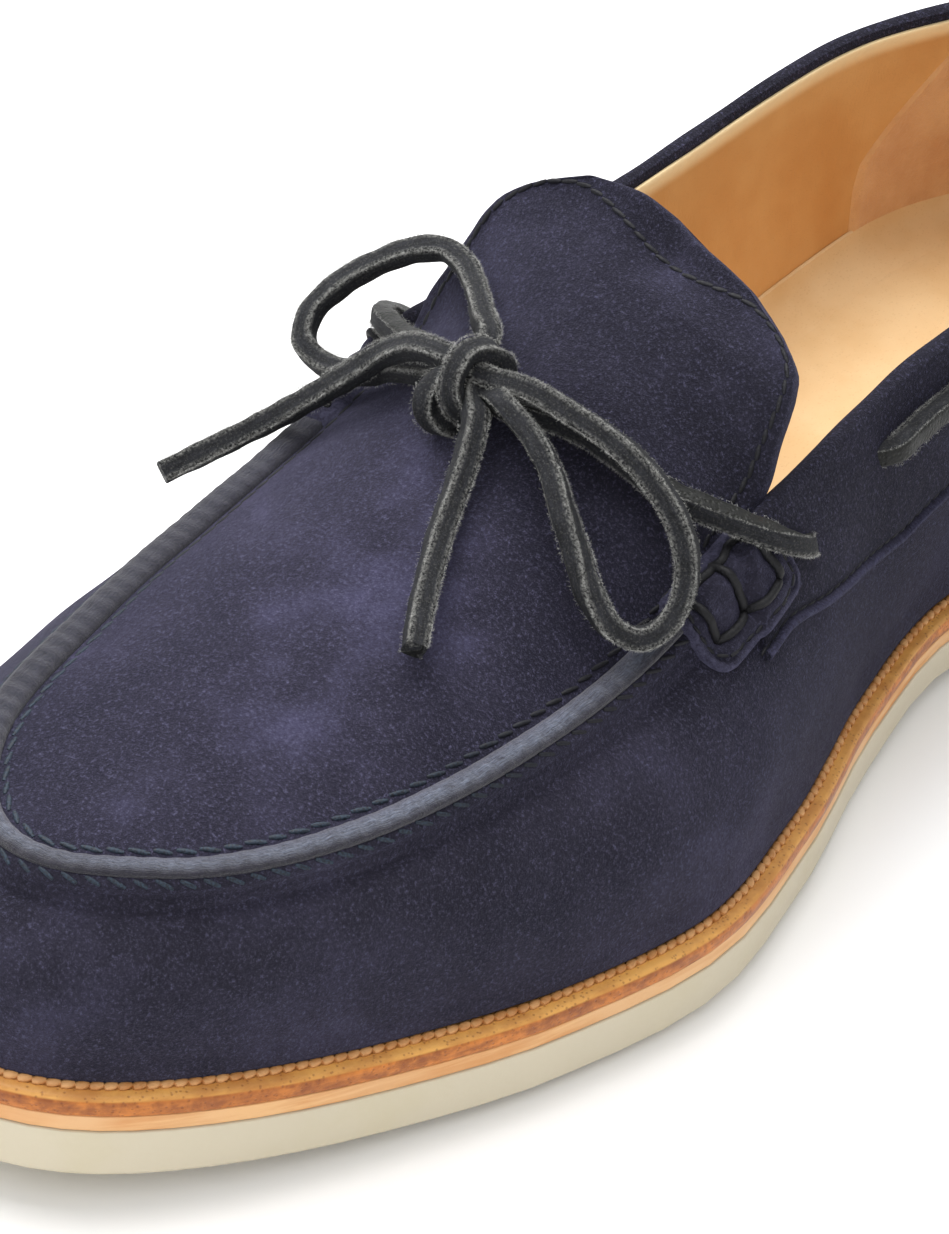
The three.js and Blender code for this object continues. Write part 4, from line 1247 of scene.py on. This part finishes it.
LOOP_OUTER = [
    (-5.0, -34.3, 75.1), (-1.8, -35.3, 76.1), (1.8, -36.8, 77.4), (8, -38, 76.2),
    (14, -40, 73.6), (19, -42.8, 70.6), (24, -45, 66.8), (29, -47, 62.6),
    (33, -46.6, 59.2), (35.8, -43.6, 57.4), (37, -39.6, 58), (36.8, -35.6, 61),
    (35.2, -33.2, 65.4), (32.6, -32.4, 69.6), (28.8, -32.3, 73.4), (24, -32.3, 76.2),
    (18, -32.6, 78.1), (11.4, -33, 79), (4.6, -33.2, 79.4), (1.4, -33.4, 78.9),
    (-2.0, -33.8, 78.2), (-5.4, -34.3, 78.2),
]
LOOP_INNER = [
    (-5.6, -34.2, 76.6), (-7.2, -31.8, 78.6), (-7.9, -29.2, 80.2), (-13, -24.4, 79.8),
    (-20, -17.6, 78.6), (-26.6, -12.8, 78), (-31.5, -11.4, 77.6), (-36, -12.6, 76),
    (-40.5, -16, 73), (-43.8, -21.4, 69.4),
    (-44.8, -26.6, 65.6), (-42.6, -29.8, 63), (-38.4, -30.4, 61.8), (-33.5, -30.6, 62.8),
    (-28.5, -31, 65.2), (-23.8, -31.5, 68.4), (-18.4, -32.5, 71.2), (-13.6, -32.8, 73.1),
    (-9.0, -33.4, 74.2), (-5.0, -34.3, 75.1),
]
END_INNER = [
    (-5.4, -34.4, 78.3), (-8.4, -35.0, 78.9), (-11.2, -35.2, 78.8), (-14.2, -34.9, 78.1),
    (-18, -34.4, 76.5), (-22.6, -34.6, 73.1), (-27, -36.2, 68.3), (-32, -38, 62.9),
    (-37.2, -40.4, 57.4), (-41.4, -44.8, 53.4), (-44.6, -50.2, 50.6),
    (-47, -55.7, 48.6),
]
END_FRONT = [
    (-5.8, -34.2, 76.5), (-4.0, -36.9, 75.9), (-0.4, -40.2, 75.2), (1.6, -43.4, 72.6),
    (4.2, -48.8, 69.4), (7, -54.8, 66.6), (10.4, -60.8, 64.4), (14, -66.6, 62.2),
    (18, -72.4, 60.4),
]
LOOP_OUTER_FLESH = [
    (0, (0.6, 0.6, 0.5)), (0.25, (0.9, 0.3, 0.3)), (0.5, (0.5, -0.8, 0.5)),
    (1, (-0.2, -0.9, 0.8)),
]
LOOP_INNER_FLESH = [(0, (0.6, -0.2, 0.9)), (0.5, (-0.2, -0.6, 1.0)), (1, (0, -0.3, 1.0))]
END_INNER_FLESH = [(0, (0, -0.4, 1.0)), (1, (0.5, -0.6, 0.7))]
END_FRONT_FLESH = [(0, (0.9, -0.3, 0.6)), (1, (0.6, -0.3, 0.8))]

for node, route, flesh, far_end, others in [
    ("lace_loop_outer", LOOP_OUTER, LOOP_OUTER_FLESH, "knot", [knot]),
    ("lace_loop_inner", LOOP_INNER, LOOP_INNER_FLESH, "knot", []),
    ("lace_end_inner", END_INNER, END_INNER_FLESH, "bare", []),
    ("lace_end_front", END_FRONT, END_FRONT_FLESH, "bare", []),
]:
    piece, line = strap(node + "_strap", route, flesh)
    done(piece, rawhide, "lace", node, smooth=50)

# ---- Lace fuzz --------------------------------------------------------------------------
# Loose grey fibres that stand out along the cut edges of the lace.

dice = np.random.default_rng(7)
places, looks, tips = [], [], []
for edge, outs, ways, many in fuzz_rows:
    far = lengths(edge)
    count = int(far[-1] * 1000 * many)
    at = dice.uniform(0, far[-1], count)
    spot, out, way = [
        np.stack([np.interp(at, far, values[:, k]) for k in range(3)], 1)
        for values in (edge, outs, ways)
    ]
    places.append(spot + dice.normal(0, 0.09 * MM, spot.shape))
    tips.append(unit(out + dice.normal(0, 0.55, spot.shape) + way * dice.normal(0, 0.6, (count, 1))))
    looks.append(unit(dice.normal(0, 1, spot.shape)))
places, tips, looks = [np.concatenate(x) for x in (places, tips, looks)]
bpy.ops.object.select_all(action="DESELECT")
bpy.ops.mesh.primitive_cone_add(
    vertices=3, radius1=0.028 * MM, radius2=0, depth=0.5 * MM, location=(0, 0, 0.12 * MM)
)
fibre = bpy.context.object
fibre.data.transform(fibre.matrix_world)
lengthwise = np.ones((len(places), 3))
lengthwise[:, 2] = dice.uniform(0.5, 1.5, len(places))
fuzz = repeated("lace_fuzz", fibre, places, looks, tips, lengthwise)


def fuzz_paint(place, uv):
    mix = place.noise(1.5, 2)
    return {
        "Base Color": mix.step(0.3, 0.7).blend("7c7c79", "b4b4b0"),
        "Roughness": mix.step(0.2, 0.8, 0.85, 1.0),
        "height": mix * 0.01,
    }


done(fuzz, finish("grey_fuzz", fuzz_paint), "lace", smooth=20)

# ---- Studio -----------------------------------------------------------------------------
# A pale floor, a large soft lamp above and behind to the left, and a weak fill, as in a
# product studio. The camera looks down on the toe from the outer side.

bpy.ops.mesh.primitive_plane_add(size=8, location=(0, 0, -0.0005))
floor = bpy.context.object
floor.name = "studio_floor"


def floor_paint(place, uv):
    soft = place.noise(400, 2)
    return {
        "Base Color": soft.blend("f4f4f4", "fbfbfb"),
        "Roughness": soft.step(0.2, 0.8, 0.8, 0.9),
        "height": soft * 0.01,
    }


floor.data.materials.append(finish("studio_paper", floor_paint))

world = bpy.data.worlds.new("studio")
bpy.context.scene.world = world
world.use_nodes = True
world.node_tree.nodes["Background"].inputs["Color"].default_value = (1, 1, 1, 1)
world.node_tree.nodes["Background"].inputs["Strength"].default_value = 0.65


def lamp(name, place, aim, size, power):
    """A round soft lamp at a place, aimed at another."""
    light = bpy.data.lights.new(name, "AREA")
    light.shape = "DISK"
    light.size = size
    light.energy = power
    piece = bpy.data.objects.new(name, light)
    bpy.context.scene.collection.objects.link(piece)
    way = Vector(place) - Vector(aim)
    piece.matrix_world = Matrix.Translation(place) @ way.to_track_quat("Z", "Y").to_matrix().to_4x4()


lamp("key_lamp", (-0.45, 0.12, 0.95), (0, 0, 0.03), 1.2, 20)
lamp("fill_lamp", (0.4, -0.9, 0.9), (0, 0, 0.03), 1.6, 5)

bpy.context.scene.view_settings.view_transform = "Standard"
azimuth = math.radians(37.07)
elevation = math.radians(36.87)
roll = math.radians(6.29)
lens = bpy.data.cameras.new("camera")
lens.lens = 112.29
lens.sensor_width = 36
lens.clip_start = 0.01
camera = bpy.data.objects.new("camera", lens)
bpy.context.scene.collection.objects.link(camera)
back = Vector((
    math.sin(azimuth) * math.cos(elevation),
    -math.cos(azimuth) * math.cos(elevation),
    math.sin(elevation),
))
level = Vector((math.cos(azimuth), math.sin(azimuth), 0))
upright = back.cross(level)
right = level * math.cos(roll) + upright * math.sin(roll)
head = upright * math.cos(roll) - level * math.sin(roll)
facing = Matrix((right, head, back)).transposed().to_4x4()
camera.matrix_world = Matrix.Translation((0.28128, -0.40782, 0.38695)) @ facing
bpy.context.scene.camera = camera

bpy.context.view_layer.update()
